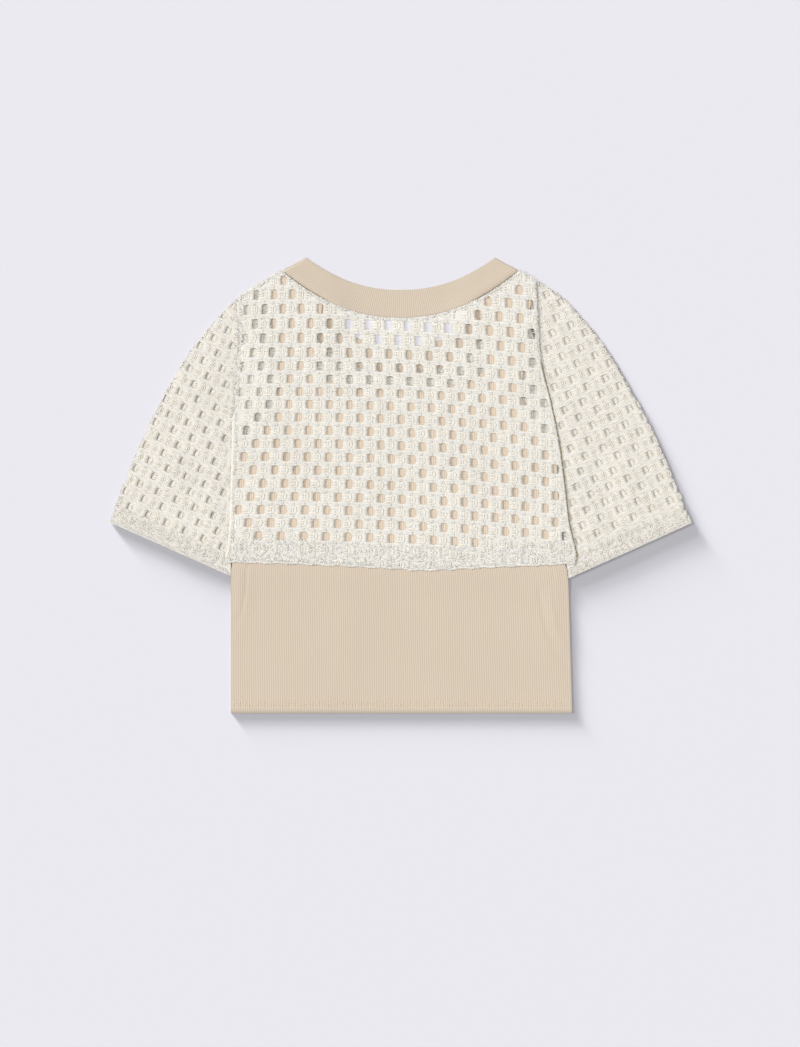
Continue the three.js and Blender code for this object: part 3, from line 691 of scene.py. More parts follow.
def knit_repeat(knit, sides, slit, hole=1.0):
    """The raised yarns of one repeat round the hole at its middle: (name, centre, tube)."""
    pitch, row = knit.pitch, knit.row
    middle = knit.thickness * 0.5
    parts = []
    for strand in (0, 1):
        for half in (-1, 1):
            x = np.linspace(min(half, 0), max(half, 0), 6) * pitch * 0.5
            turn = 2.0 * math.pi * x / pitch * knit.twists + strand * math.pi
            wave = knit.bar_wave * np.cos(2.0 * math.pi * x / pitch)
            y = row * 0.5 + wave + knit.bar_width * STRAND_SPREAD * np.cos(turn)
            z = middle + knit.thickness * STRAND_TWIST * np.sin(turn)
            path = np.stack([x, y, z], axis=1)
            parts.append(("bar", (half * pitch * 0.25, row * 0.5),
                          tube(path, knit.bar_width * STRAND_WIDTH, knit.thickness * STRAND_HEIGHT, sides)))
    turn = np.arange(10) * 2.0 * math.pi / 10
    loop_yarn = knit.loop_yarn * 0.5
    loop_reach = slit * 0.5 + loop_yarn
    x = pitch * 0.5 + loop_reach * np.cos(turn)
    y = knit.loop_length * 0.5 * np.sin(turn)
    z = np.full(10, middle + knit.yarn_lift)
    path = np.stack([x, y, z], axis=1)
    parts.append(("loop", (pitch * 0.5, 0.0),
                  tube(path, loop_yarn, knit.thickness * LOOP_HEIGHT, sides, closed=True)))
    hole_edge = pitch * 0.5 - knit.hole_width * hole * 0.5
    start = loop_reach + 0.3 * MM
    for side in (-1, 1):
        for number in range(knit.rungs):
            height = ((number + 0.5) / knit.rungs - 0.5) * (row - knit.bar_width * 0.7)
            x = pitch * 0.5 + side * np.linspace(start, hole_edge, 3)
            y = height + 0.25 * MM * np.array([0.0, 1.0, 0.0])
            z = np.full(3, middle + knit.yarn_lift)
            swell = np.array([0.85, 1.05, 0.9])
            path = np.stack([x, y, z], axis=1)
            widths = knit.rung_width * 0.5 * swell
            heights = knit.thickness * RUNG_HEIGHT * swell
            parts.append(("rung", (pitch * 0.5 + side * (start + hole_edge) * 0.5, height),
                          tube(path, widths, heights, 4)))
    return parts


def body_lattice(x, y, mirrored=False):
    """Where a place on the even lattice lies on the body, with its lean and sag."""
    across = np.clip(x / 0.1, -1.8, 1.8)
    down = np.clip((LATTICE_START[1] - y) / 0.1, -LEAN_REACH, LEAN_REACH)

    def total(table):
        return (table["level"] + table["x"] * across + table["y"] * down
                + table["xx"] * across ** 2 + table["xy"] * across * down
                + table["yy"] * down ** 2 + table["xxy"] * across ** 2 * down) * MM

    if mirrored:
        return x - total(LEAN) * 0.4, y + total(SAG) * 0.4
    settle = SETTLE["depth"] * np.exp(-((y - SETTLE["at"]) / SETTLE["spread"]) ** 2)
    return x + total(LEAN), y - total(SAG) - settle


def lattice_cells(start, low, high, pitch, row):
    """Hole centres of the half-drop lattice over a rectangle."""
    first_row = math.floor((low[1] - start[1]) / row)
    last_row = math.ceil((high[1] - start[1]) / row)
    first = math.floor((low[0] - start[0]) / pitch) - 1
    last = math.ceil((high[0] - start[0]) / pitch) + 1
    cells = [(start[0] + (i + 0.5 * (j % 2)) * pitch, start[1] + j * row)
             for j in range(first_row, last_row + 1) for i in range(first, last + 1)]
    return np.array(cells)


class FlatLay:
    """Lays knit over a panel's heights, pulled in at its outline."""

    def __init__(self, cloth, base, edge=EDGE_ROOM):
        self.cloth = cloth
        self.base = base
        self.edge = edge

    def place(self, x, y, up):
        x, y = self.cloth.keep_in(x, y, self.edge)
        return x, y, self.cloth.sample(self.base, x, y) + up

    def room(self, x, y):
        """How far inside the cloth a place is."""
        return self.cloth.inside(x, y) - self.edge


class FoldLay:
    """Lays knit over a flattened tube of cloth and on round its fold to the lower layer."""

    def __init__(self, cloth, fold, rest, thickness):
        self.cloth = cloth
        self.half = thickness * 0.5
        spots = np.stack(np.meshgrid(cloth.low[0] + np.arange(cloth.shape[0]) * GRID_STEP,
                                     cloth.low[1] + np.arange(cloth.shape[1]) * GRID_STEP,
                                     indexing="ij"), axis=2).reshape(-1, 2)
        self.distance = distance_from_line(spots, fold).reshape(cloth.shape)
        self.slope_x, self.slope_y = np.gradient(self.distance, GRID_STEP)
        from_rest = np.abs(distance_from_line(spots, rest)).reshape(cloth.shape)
        self.rest = np.where((cloth.distance < 0) & (self.distance > 0), -from_rest, from_rest)

    def across_fold(self, x, y):
        """The top height, the fold's radius, and how far past its start a place is."""
        inner_x, inner_y = self.cloth.keep_in(x, y, 6 * MM)
        top = self.cloth.sample(self.cloth.top, inner_x, inner_y)
        radius = np.maximum(top * 0.5 - self.half, 0.3 * MM)
        return top, radius, radius + self.half - self.cloth.sample(self.distance, x, y)

    def place(self, x, y, up):
        top, radius, past = self.across_fold(x, y)
        past = np.clip(past, 0.0, math.pi * radius + UNDER_FOLD)
        inside = self.cloth.sample(self.distance, x, y)
        start = radius + self.half
        turn = np.minimum(past / radius, math.pi)
        reach = radius + up - self.half
        moved = np.where(past > 0.0, start - reach * np.sin(turn)
                         + np.maximum(past - math.pi * radius, 0.0), inside)
        to_x = self.cloth.sample(self.slope_x, x, y)
        to_y = self.cloth.sample(self.slope_y, x, y)
        x, y = self.cloth.keep_in(x + (moved - inside) * to_x, y + (moved - inside) * to_y, 0.0)
        return x, y, top * 0.5 + reach * np.cos(turn)

    def room(self, x, y):
        radius, past = self.across_fold(x, y)[1:]
        return np.minimum(self.cloth.sample(self.rest, x, y), math.pi * radius + UNDER_FOLD - past)


def knit_on(batch, repeat, cells, to_place, lay, rng):
    """Lays the repeat's yarns on every cell whose parts fall inside the cloth."""
    for name, centre, (vertices, polygons) in repeat:
        middle_x, middle_y = to_place(cells[:, 0] + centre[0], cells[:, 1] + centre[1])
        kept = cells[lay.room(middle_x, middle_y) > 0.3 * MM]
        if len(kept) == 0:
            continue
        shift = rng.normal(0.0, 1.0, (len(kept), 1, 3)) * YARN_WANDER
        if name == "bar":
            shift *= 0.0
        local = vertices[None, :, :] + shift
        x, y = to_place(kept[:, None, 0] + local[:, :, 0], kept[:, None, 1] + local[:, :, 1])
        batch.add(np.stack(lay.place(x, y, local[:, :, 2]), axis=2), polygons)


def tufts_on(cloth, batch, points, base, thickness, rng, edge=EDGE_ROOM):
    """Short crossing stitches over a hem, which close its holes, or beside a seam."""
    count = len(points)
    steps = np.linspace(-1.0, 1.0, 4)
    angle = rng.uniform(0.0, math.pi, count)
    length = rng.uniform(*TUFT_LENGTH, count) * MM
    lift = rng.uniform(*TUFT_LIFT, count) * thickness
    path = np.stack([steps, np.zeros(4), np.array([0.0, 0.25, 0.25, 0.0])], axis=1)
    swell = np.array([0.55, 1.0, 1.0, 0.55])
    sides = 4
    vertices, polygons = tube(path, swell, swell, sides)
    along = np.repeat(steps, sides)
    across = vertices[:, 1]
    up = vertices[:, 2]
    x = (points[:, None, 0] + np.cos(angle)[:, None] * along * length[:, None]
         - np.sin(angle)[:, None] * across * TUFT_WIDTH)
    y = (points[:, None, 1] + np.sin(angle)[:, None] * along * length[:, None]
         + np.cos(angle)[:, None] * across * TUFT_WIDTH)
    x, y = cloth.keep_in(x, y, edge)
    z = cloth.sample(base, x, y) + lift[:, None] + up * TUFT_HEIGHT
    batch.add(np.stack([x, y, z], axis=2), polygons)


def spread_points(cloth, band, spacing, rng):
    """Jittered points all over the part of a cloth where band is above 0."""
    nx = int((cloth.shape[0] * GRID_STEP) / spacing)
    ny = int((cloth.shape[1] * GRID_STEP) / spacing)
    grid_x, grid_y = np.meshgrid(np.arange(nx) * spacing, np.arange(ny) * spacing, indexing="ij")
    x = cloth.low[0] + grid_x.ravel() + rng.uniform(-TUFT_JITTER, TUFT_JITTER, nx * ny) * spacing
    y = cloth.low[1] + grid_y.ravel() + rng.uniform(-TUFT_JITTER, TUFT_JITTER, nx * ny) * spacing
    keep = (cloth.inside(x, y) > EDGE_ROOM) & (band(x, y) > 0.0)
    return np.stack([x[keep], y[keep]], axis=1)


def edging(cloth, batch, route, base, width, height, bead, sides=6, inset=None):
    """A beaded cord along part of a cloth's edge, as a seam or a turned edge is."""
    x, y = route[:, 0], route[:, 1]
    x, y = cloth.keep_in(x, y, width if inset is None else inset)
    z = cloth.sample(base, x, y) + height
    lengths = np.concatenate([[0.0], np.cumsum(np.hypot(np.diff(x), np.diff(y)))])
    swell = 1.0 + 0.16 * np.cos(2.0 * math.pi * lengths / bead)
    vertices, polygons = tube(np.stack([x, y, z], axis=1), width * swell, height * swell, sides)
    batch.add(vertices[None, :, :], polygons)


def even_route(points, step):
    """A polyline with even steps along it."""
    points = np.asarray(points)
    lengths = np.concatenate([[0.0], np.cumsum(np.hypot(*np.diff(points, axis=0).T))])
    count = max(int(lengths[-1] / step), 2)
    at = np.linspace(0.0, lengths[-1], count + 1)
    return np.stack([np.interp(at, lengths, points[:, 0]), np.interp(at, lengths, points[:, 1])], axis=1)


def part_of_outline(outline, test):
    """The longest unbroken stretch of an outline whose points pass a test."""
    dense = even_route(np.concatenate([outline, outline[:1]]), 1.0 * MM)
    good = test(dense[:, 0], dense[:, 1])
    if good.all():
        return dense
    start = int(np.argmin(good))
    order = np.roll(np.arange(len(dense)), -start)
    best, run = [], []
    for index in order:
        if good[index]:
            run.append(index)
            best = run if len(run) > len(best) else best
        else:
            run = []
    return dense[best]


def crease_rise(x, y, creases):
    """How far creases lift a cloth, or sink it, at each place."""
    spots = np.stack([x.ravel(), y.ravel()], axis=1)
    rise = np.zeros(len(spots))
    for crease in creases:
        line = even_route(np.array(crease["line"]) * MM, 2.0 * MM)
        away = np.abs(distance_from_line(spots, line)) / (crease["half_width"] * MM)
        near = np.clip(1.0 - away, 0.0, 1.0)
        rise += crease["rise"] * MM * near * near * (3.0 - 2.0 * near)
    return rise.reshape(x.shape)


def mark_ridges(piece, heights):
    """Notes on a ribbed piece's points how near each is to the top of its rib, which the rib material uses
    to paint shade between ribs.
    """
    layer = piece.data.attributes.new("ridge", "FLOAT", "POINT")
    layer.data.foreach_set("value", np.asarray(heights, dtype=np.float32))


# Pieces


def side_stretch(cloth, stretch):
    """A stretch of a panel's outline on one of its sides."""
    def on_side(x, y):
        return (x * stretch["side"] > stretch["past"]) & (y < stretch["top"]) & (y > stretch["bottom"])

    return even_route(part_of_outline(cloth.outline, on_side), SIDE_STEP)


def side_edges(cloth, batch, base):
    """The back's rolled right edge, which lies over the sleeve, a dark thread beside it that paints its
    shadow on the sleeve, and its puffy left seam.
    """
    right = side_stretch(cloth, RIGHT_EDGE)
    edging(cloth, batch, right, base, width=1.7 * MM, height=1.1 * MM, bead=3.6 * MM)
    # A dark thread just outside the rolled edge: painted shadow where the edge shades the sleeve
    crease = Batch()
    edging(cloth, crease, right, base, width=0.9 * MM, height=0.8 * MM, bead=7.0 * MM, inset=-0.6 * MM)
    crease.piece("right_edge_painted_shadow", painted_shadow_thread(), "overlay_knit")
    left = side_stretch(cloth, LEFT_SEAM)
    edging(cloth, batch, left, base - 0.9 * MM, width=2.4 * MM, height=1.2 * MM, bead=6.5 * MM,
           inset=-1.2 * MM)


def knit_panel(node, mirrored, sides, seed):
    """One panel of the overlay: its web, and its raised yarns, hem and seam stitches."""
    knit = scene_settings().croptop_knit
    cloth = Cloth(node)
    rng = np.random.default_rng(seed)
    batch = Batch()
    base = cloth.underside
    low = cloth.outline.min(axis=0) - 20 * MM
    high = cloth.outline.max(axis=0) + 20 * MM
    cells = lattice_cells(LATTICE_START, low, high, knit.pitch, knit.row)
    if mirrored:
        cells = cells + np.array([knit.pitch * 0.5 + BEHIND_HOLES, 0.0])

    def to_place(x, y):
        return body_lattice(x, y, mirrored)

    hem = part_of_outline(cloth.outline, lambda x, y: y < HEM_BELOW)
    hem_order = np.argsort(hem[:, 0])

    def in_hem(x, y):
        hem_line = np.interp(x, hem[hem_order, 0], hem[hem_order, 1])
        return knit.hem_depth - (y - hem_line)

    def beside_seam(x, y):
        return SEAM_WIDTH - cloth.inside(x, y)

    close = FRONT_CLOSE if mirrored else HOLE_ROOM
    web = knit_web(FlatLay(cloth, base, 0.1 * MM), knit, cells, to_place, in_hem, rng, close=close)
    piece = new_piece(node + "_knit", *web, overlay_yarn(), "overlay_knit")
    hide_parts(node)
    repeat = knit_repeat(knit, sides, knit.body_slit)
    knit_on(batch, repeat, cells, to_place, FlatLay(cloth, base), rng)
    tufts = spread_points(cloth, in_hem, HEM_TUFTS, rng)
    tufts_on(cloth, batch, tufts, base, knit.thickness, rng)
    seam = spread_points(cloth, beside_seam, SEAM_TUFTS, rng)
    tufts_on(cloth, batch, seam, base, knit.thickness, rng, edge=-0.5 * MM)
    edging(cloth, batch, even_route(hem, CORD_STEP), base, width=1.3 * MM, height=1.1 * MM, bead=5.2 * MM)
    if not mirrored:
        side_edges(cloth, batch, base)
    stitches = batch.piece(node + "_stitches", overlay_yarn(), "overlay_knit")
    return piece, stitches, cloth


class CROPTOP_PG_knit(bpy.types.PropertyGroup):
    """Sizes and colours of the openwork knit."""
    pitch: bpy.props.FloatProperty(
        name="Pitch", description="Distance between holes along a row",
        default=20.35 * MM, unit="LENGTH")
    row: bpy.props.FloatProperty(
        name="Row", description="Distance between rows of holes", default=13.25 * MM, unit="LENGTH")
    thickness: bpy.props.FloatProperty(
        name="Thickness", description="Thickness of the knit", default=2.0 * MM, unit="LENGTH")
    bar_width: bpy.props.FloatProperty(
        name="Bar width", description="Width of the chain between rows",
        default=4.1 * MM, unit="LENGTH")
    bar_wave: bpy.props.FloatProperty(
        name="Bar wave", description="How far the chain waves round the holes",
        default=0.8 * MM, unit="LENGTH")
    twists: bpy.props.IntProperty(
        name="Twists", description="Turns of the chain's strands in each repeat", default=2)
    yarn_lift: bpy.props.FloatProperty(
        name="Yarn lift", description="How far the middle of the raised yarns is above the web's",
        default=0.2 * MM, unit="LENGTH")
    web: bpy.props.FloatProperty(
        name="Web", description="Thickness of the felted web between the holes",
        default=0.9 * MM, unit="LENGTH")
    hole_width: bpy.props.FloatProperty(
        name="Hole width", description="Width of a hole", default=6.4 * MM, unit="LENGTH")
    hole_height: bpy.props.FloatProperty(
        name="Hole height", description="Height of a hole", default=9.2 * MM, unit="LENGTH")
    body_slit: bpy.props.FloatProperty(
        name="Body slit", description="Width of the slit in a loop of the body",
        default=1.5 * MM, unit="LENGTH")
    sleeve_slit: bpy.props.FloatProperty(
        name="Sleeve slit", description="Width of the slit in a loop of a sleeve",
        default=0.4 * MM, unit="LENGTH")
    loop_yarn: bpy.props.FloatProperty(
        name="Loop yarn", description="Thickness of a loop's yarn", default=1.7 * MM, unit="LENGTH")
    loop_length: bpy.props.FloatProperty(
        name="Loop length", description="Length of the slit loop", default=7.0 * MM, unit="LENGTH")
    sleeve_hole: bpy.props.FloatProperty(
        name="Sleeve hole", description="Size of a sleeve's holes beside the body's", default=0.86)
    rungs: bpy.props.IntProperty(
        name="Rungs", description="Wrapping stitches on each side of a slit loop", default=4)
    rung_width: bpy.props.FloatProperty(
        name="Rung width", description="Width of a wrapping stitch", default=1.7 * MM, unit="LENGTH")
    hem_depth: bpy.props.FloatProperty(
        name="Hem depth", description="Depth of the overlay's turned hem",
        default=24 * MM, unit="LENGTH")
    cuff_depth: bpy.props.FloatProperty(
        name="Cuff depth", description="Depth of a sleeve's turned cuff",
        default=20 * MM, unit="LENGTH")
    body_colour: bpy.props.FloatVectorProperty(
        name="Body colour", description="Yarn of the overlay's panels", subtype="COLOR_GAMMA",
        size=3, min=0.0, max=1.0, default=(0.978, 0.952, 0.908))
    sleeve_colour: bpy.props.FloatVectorProperty(
        name="Sleeve colour", description="Yarn of the sleeves", subtype="COLOR_GAMMA",
        size=3, min=0.0, max=1.0, default=(0.968, 0.940, 0.893))
    # A dark colour: the painted shadow of the rolled right edge on the sleeve
    shadow_line_colour: bpy.props.FloatVectorProperty(
        name="Crease colour", description="Thread in the crease of the rolled right edge",
        subtype="COLOR_GAMMA", size=3, min=0.0, max=1.0, default=(0.60, 0.54, 0.40))


class CROPTOP_PG_rib(bpy.types.PropertyGroup):
    """Sizes and colours of the ribbed cloth."""
    rib_pitch: bpy.props.FloatProperty(
        name="Rib pitch", description="Distance between ribs", default=2.2 * MM, unit="LENGTH")
    rib_height: bpy.props.FloatProperty(
        name="Rib height", description="How far a rib stands up", default=0.8 * MM, unit="LENGTH")
    hem_depth: bpy.props.FloatProperty(
        name="Hem depth", description="Depth of the tank's stitched hem",
        default=12 * MM, unit="LENGTH")
    stitch: bpy.props.FloatProperty(
        name="Stitch", description="Length of one hem stitch", default=3.0 * MM, unit="LENGTH")
    colour: bpy.props.FloatVectorProperty(
        name="Colour", description="Rib cloth", subtype="COLOR_GAMMA",
        size=3, min=0.0, max=1.0, default=(0.897, 0.839, 0.763))
    # A paler copy of the rib colour: painted light, for the light the open knit sends onto the tank
    covered_painted_light_colour: bpy.props.FloatVectorProperty(
        name="Covered colour", description="Rib cloth beneath the overlay", subtype="COLOR_GAMMA",
        size=3, min=0.0, max=1.0, default=(0.945, 0.880, 0.800))
    thread_colour: bpy.props.FloatVectorProperty(
        name="Thread colour", description="Hem and seam stitches", subtype="COLOR_GAMMA",
        size=3, min=0.0, max=1.0, default=(0.94, 0.88, 0.80))


class CROPTOP_PG_stage(bpy.types.PropertyGroup):
    """Floor, light and camera."""
    floor_colour: bpy.props.FloatVectorProperty(
        name="Floor", description="Colour of the floor", subtype="COLOR_GAMMA",
        size=3, min=0.0, max=1.0, default=(0.697, 0.694, 0.715))
    lens: bpy.props.FloatProperty(name="Lens", description="Focal length in millimetres", default=85.0)
    sensor: bpy.props.FloatProperty(
        name="Sensor", description="Long side of the picture on the sensor, in millimetres",
        default=36.0)
    picture_height: bpy.props.FloatProperty(
        name="Picture height", description="Length of floor that the picture's long side covers",
        default=1.047, unit="LENGTH")
    overhead_light: bpy.props.FloatProperty(
        name="Overhead light", description="Strength of the light from above", default=1.3)
    side_light: bpy.props.FloatProperty(
        name="Side light", description="Strength of the light from the left", default=1.25)
    floor_light: bpy.props.FloatProperty(
        name="Floor light", description="Strength of the low light that falls on the floor alone",
        default=2.5)
    sky: bpy.props.FloatProperty(name="Sky", description="Strength of the even light", default=0.335)


def add_lamp(name, strength, softness, towards):
    light = bpy.data.lights.new(name, "SUN")
    light.energy = strength
    light.angle = math.radians(softness)
    lamp = bpy.data.objects.new(name, light)
    scene_settings().collection.objects.link(lamp)
    lamp.rotation_euler = Vector(towards).to_track_quat("-Z", "Y").to_euler()
    return lamp


class CROPTOP_OT_stage(bpy.types.Operator):
    """Lays the floor and sets the lights and the camera"""
    bl_idname = "croptop.stage"
    bl_label = "Floor, Light and Camera"

    def execute(self, context):
        settings = context.scene.croptop_stage
        corners = [(x * FLOOR_HALF, y * FLOOR_HALF, FLOOR_LEVEL)
                   for x, y in ((-1, -1), (1, -1), (1, 1), (-1, 1))]
        mesh = bpy.data.meshes.new("floor")
        mesh.from_pydata(corners, [], [(0, 1, 2, 3)])
        mesh.materials.append(floor_paper())
        floor = bpy.data.objects.new("floor", mesh)
        context.scene.collection.objects.link(floor)
        world = context.scene.world or bpy.data.worlds.new("even_light")
        context.scene.world = world
        world.use_nodes = True
        background = world.node_tree.nodes["Background"]
        background.inputs["Color"].default_value = (1.0, 1.0, 1.0, 1.0)
        background.inputs["Strength"].default_value = settings.sky
        context.scene.view_settings.view_transform = "Standard"
        add_lamp("overhead_light", settings.overhead_light, **OVERHEAD)
        add_lamp("side_light", settings.side_light, **SIDE)
        lit = bpy.data.collections.new("floor_only")
        lit.objects.link(floor)
        blockers = bpy.data.collections.new("low_light_blockers")
        for piece in context.scene.collection.objects:
            if piece.type == "MESH" and piece.name not in LETS_LOW_LIGHT_BY and not piece.hide_render:
                blockers.objects.link(piece)
        for lamp in FLOOR_LAMPS:
            drop = math.tan(math.radians(lamp["elevation"]))
            strength = settings.floor_light / len(FLOOR_LAMPS) / math.sin(math.radians(lamp["elevation"]))
            low_light = add_lamp(lamp["name"], strength, lamp["softness"], (*FLOOR_LIGHT_TOWARDS, -drop))
            low_light.light_linking.receiver_collection = lit
            low_light.light_linking.blocker_collection = blockers
        camera = bpy.data.cameras.new("camera")
        camera.type = "PERSP"
        camera.lens = settings.lens
        camera.sensor_width = settings.sensor
        camera.sensor_fit = "AUTO"
        camera.dof.use_dof = False
        holder = bpy.data.objects.new("camera", camera)
        distance = settings.picture_height * settings.lens / settings.sensor
        holder.location = (*CAMERA_OVER, distance)
        context.scene.collection.objects.link(holder)
        context.scene.camera = holder
        return {"FINISHED"}


class CROPTOP_OT_overlay(bpy.types.Operator):
    """Knits the overlay's back and front panels"""
    bl_idname = "croptop.overlay"
    bl_label = "Overlay Panels"

    def execute(self, context):
        back, stitches, cloth = knit_panel("overlay_back", mirrored=False, sides=5, seed=11)
        front, stitches, cloth = knit_panel("overlay_front", mirrored=True, sides=4, seed=12)
        return {"FINISHED"}


def knit_sleeve(node, seed):
    """One sleeve: an upper layer that goes round the outer fold, and a lower one beneath."""
    knit = scene_settings().croptop_knit
    cloth = Cloth(node)
    lattice = SLEEVE_LATTICE[node]
    cos, sin = math.cos(lattice["angle"]), math.sin(lattice["angle"])
    start_x, start_y = lattice["start"]

    def to_place(x, y):
        x, y = x * SLEEVE_PITCH, y * SLEEVE_ROW
        return start_x + cos * x - sin * y, start_y + sin * x + cos * y

    def from_place(x, y):
        x, y = x - start_x, y - start_y
        return (cos * x + sin * y) / SLEEVE_PITCH, (cos * y - sin * x) / SLEEVE_ROW

    u, v = from_place(cloth.outline[:, 0], cloth.outline[:, 1])
    cuff = float(np.percentile(v, 2))
    cells = lattice_cells((0.0, 0.0), (u.min() - knit.pitch, v.min() - knit.row),
                          (u.max() + knit.pitch, v.max() + knit.row), knit.pitch, knit.row)

    def in_cuff(x, y):
        return cuff + knit.cuff_depth - from_place(x, y)[1]

    rng = np.random.default_rng(seed)
    batch = Batch()
    outward = 1.0 if node == "sleeve_right" else -1.0
    tip = cloth.outline[np.argmax(cloth.outline[:, 1])]
    corner = cloth.outline[np.argmax(outward * cloth.outline[:, 0])]
    chord = (corner - tip) / np.linalg.norm(corner - tip)

    def on_fold(x, y):
        beyond = (chord[0] * (y - tip[1]) - chord[1] * (x - tip[0])) * outward
        along = chord[0] * (x - tip[0]) + chord[1] * (y - tip[1])
        return (beyond > -1.0 * MM) & (along > -1.0 * MM)

    fold = even_route(part_of_outline(cloth.outline, on_fold)[::-1], 3.0 * MM)
    rest = even_route(part_of_outline(cloth.outline, lambda x, y: ~on_fold(x, y))[::-1], 3.0 * MM)
    upper = FoldLay(cloth, fold, rest, knit.thickness)
    puff = np.clip(cloth.distance / PUFF_REACH, 0.0, 1.0)
    puff = SLEEVE_PUFF * puff * puff * (3.0 - 2.0 * puff)
    lower = FlatLay(cloth, cloth.underside + puff, 2.0 * MM)
    under_cells = cells + np.array([knit.pitch * 0.5 + BEHIND_HOLES, 0.0])
    webs = Batch()
    for lay, places in ((upper, cells), (lower, under_cells)):
        vertices, polygons = knit_web(lay, knit, places, to_place, in_cuff, rng, knit.sleeve_hole)
        webs.add(vertices[None, :, :], polygons)
    piece = webs.piece(node + "_knit", sleeve_yarn(), "sleeve_knit")
    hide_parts(node)
    repeat = knit_repeat(knit, 4, knit.sleeve_slit, knit.sleeve_hole)
    knit_on(batch, repeat, cells, to_place, upper, rng)
    knit_on(batch, repeat, under_cells, to_place, lower, rng)
    base = cloth.top - knit.thickness
    tufts_on(cloth, batch, spread_points(cloth, in_cuff, CUFF_TUFTS, rng), base, knit.thickness, rng)

    def beside_seam(x, y):
        return SEAM_WIDTH - cloth.sample(upper.rest, x, y)

    seam = spread_points(cloth, beside_seam, SEAM_TUFTS, rng)
    tufts_on(cloth, batch, seam, base, knit.thickness, rng, edge=-0.2 * MM)
    edge = part_of_outline(cloth.outline, lambda x, y: from_place(x, y)[1] < cuff + 4 * MM)
    for level in (base, cloth.underside):
        edging(cloth, batch, even_route(edge, CORD_STEP), level, width=1.2 * MM, height=1.0 * MM,
               bead=5.0 * MM)
    stitches = batch.piece(node + "_stitches", sleeve_yarn(), "sleeve_knit")


class CROPTOP_OT_sleeves(bpy.types.Operator):
    """Knits both sleeves"""
    bl_idname = "croptop.sleeves"
    bl_label = "Sleeves"

    def execute(self, context):
        for node, seed in (("sleeve_left", 21), ("sleeve_right", 22)):
            knit_sleeve(node, seed)
        return {"FINISHED"}


def side_lines(cloth):
    """The tank's left and right edge at each height below the underarm."""
    outline = even_route(np.concatenate([cloth.outline, cloth.outline[:1]]), 1.0 * MM)
    bottom = outline[:, 1].min()
    below = (outline[:, 1] < TANK_UNDERARM) & (outline[:, 1] > bottom + 0.5 * MM)
    left = outline[below & (outline[:, 0] < -100 * MM)]
    right = outline[below & (outline[:, 0] > 100 * MM)]
    left = left[np.argsort(left[:, 1])]
    right = right[np.argsort(right[:, 1])]
    return left, right, bottom


def tank_panel(node):
    """One rib panel of the tank, as a closed shell with ribs on both faces."""
    rib = scene_settings().croptop_rib
    cloth = Cloth(node)
    left, right, bottom = side_lines(cloth)
    top = cloth.outline[:, 1].max()
    shown_rows = np.arange(bottom, TANK_SHOWN, SHOWN_ROWS)
    hidden_rows = np.arange(TANK_SHOWN, top + HIDDEN_ROWS * 0.5, HIDDEN_ROWS)
    rows = np.concatenate([shown_rows, hidden_rows])
    width = float(right[0, 0] - left[0, 0])
    ribs = int(round(width / rib.rib_pitch))
    across = np.linspace(0.0, 1.0, ribs * RIB_SAMPLES + 1)
    row_y = np.clip(rows, bottom, top)
    at = np.minimum(row_y, TANK_UNDERARM)
    left_x = np.interp(at, left[:, 1], left[:, 0])
    right_x = np.interp(at, right[:, 1], right[:, 0])
    x = left_x[:, None] + (right_x - left_x)[:, None] * across[None, :]
    y = np.broadcast_to(row_y[:, None], x.shape).copy()
    wander = RIB_WANDER * np.sin(y * 60.0 + 3.0 * np.sin(x * 30.0))
    inner = np.minimum(across, 1 - across)[None, :] > 0.004
    x = x + wander * inner
    inside = cloth.inside(x, y)
    above = y > TANK_UNDERARM
    pulled_x, pulled_y = cloth.keep_in(x, y, 0.0)
    near = above & (inside < 0) & (inside > -9 * MM)
    x = np.where(near, pulled_x, x)
    y = np.where(near, pulled_y, y)
    profile = np.broadcast_to(np.abs(np.cos(math.pi * ribs * across)) ** RIB_SQUARENESS, x.shape)
    crease = crease_rise(x, y, TANK_CREASES) * (y < CREASES_BELOW)
    top_z = cloth.sample(cloth.top, x, y) + rib.rib_height * (profile - 1.0) + crease
    under_z = cloth.sample(cloth.underside, x, y) + rib.rib_height * 0.3 * (1.0 - profile)
    rows_count, columns = x.shape
    cell_x = 0.25 * (x[:-1, :-1] + x[1:, :-1] + x[:-1, 1:] + x[1:, 1:])
    cell_y = 0.25 * (y[:-1, :-1] + y[1:, :-1] + y[:-1, 1:] + y[1:, 1:])
    keep = (cell_y < TANK_UNDERARM) | (cloth.inside(cell_x, cell_y) > -0.3 * MM)
    index = np.arange(rows_count * columns).reshape(rows_count, columns)
    a, b = index[:-1, :-1][keep], index[:-1, 1:][keep]
    c, d = index[1:, 1:][keep], index[1:, :-1][keep]
    ridge = (profile - profile.min()) / (1.0 - profile.min())
    vertices, polygons = two_layers(np.stack([x, y, top_z, ridge], axis=2).reshape(-1, 4),
                                    np.stack([x, y, under_z, ridge], axis=2).reshape(-1, 4),
                                    [np.stack([a, b, c, d], axis=1)])
    piece = new_piece(node + "_rib", vertices[:, :3], polygons, rib_cloth(), "rib")
    # Faces under the overlay take the paler copy of the rib cloth, painted light
    piece.data.materials.append(covered_rib_painted_light())
    for face in piece.data.polygons:
        face.material_index = int(face.center.y > TANK_COVERED)
    mark_ridges(piece, vertices[:, 3])
    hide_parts(node)
    return cloth


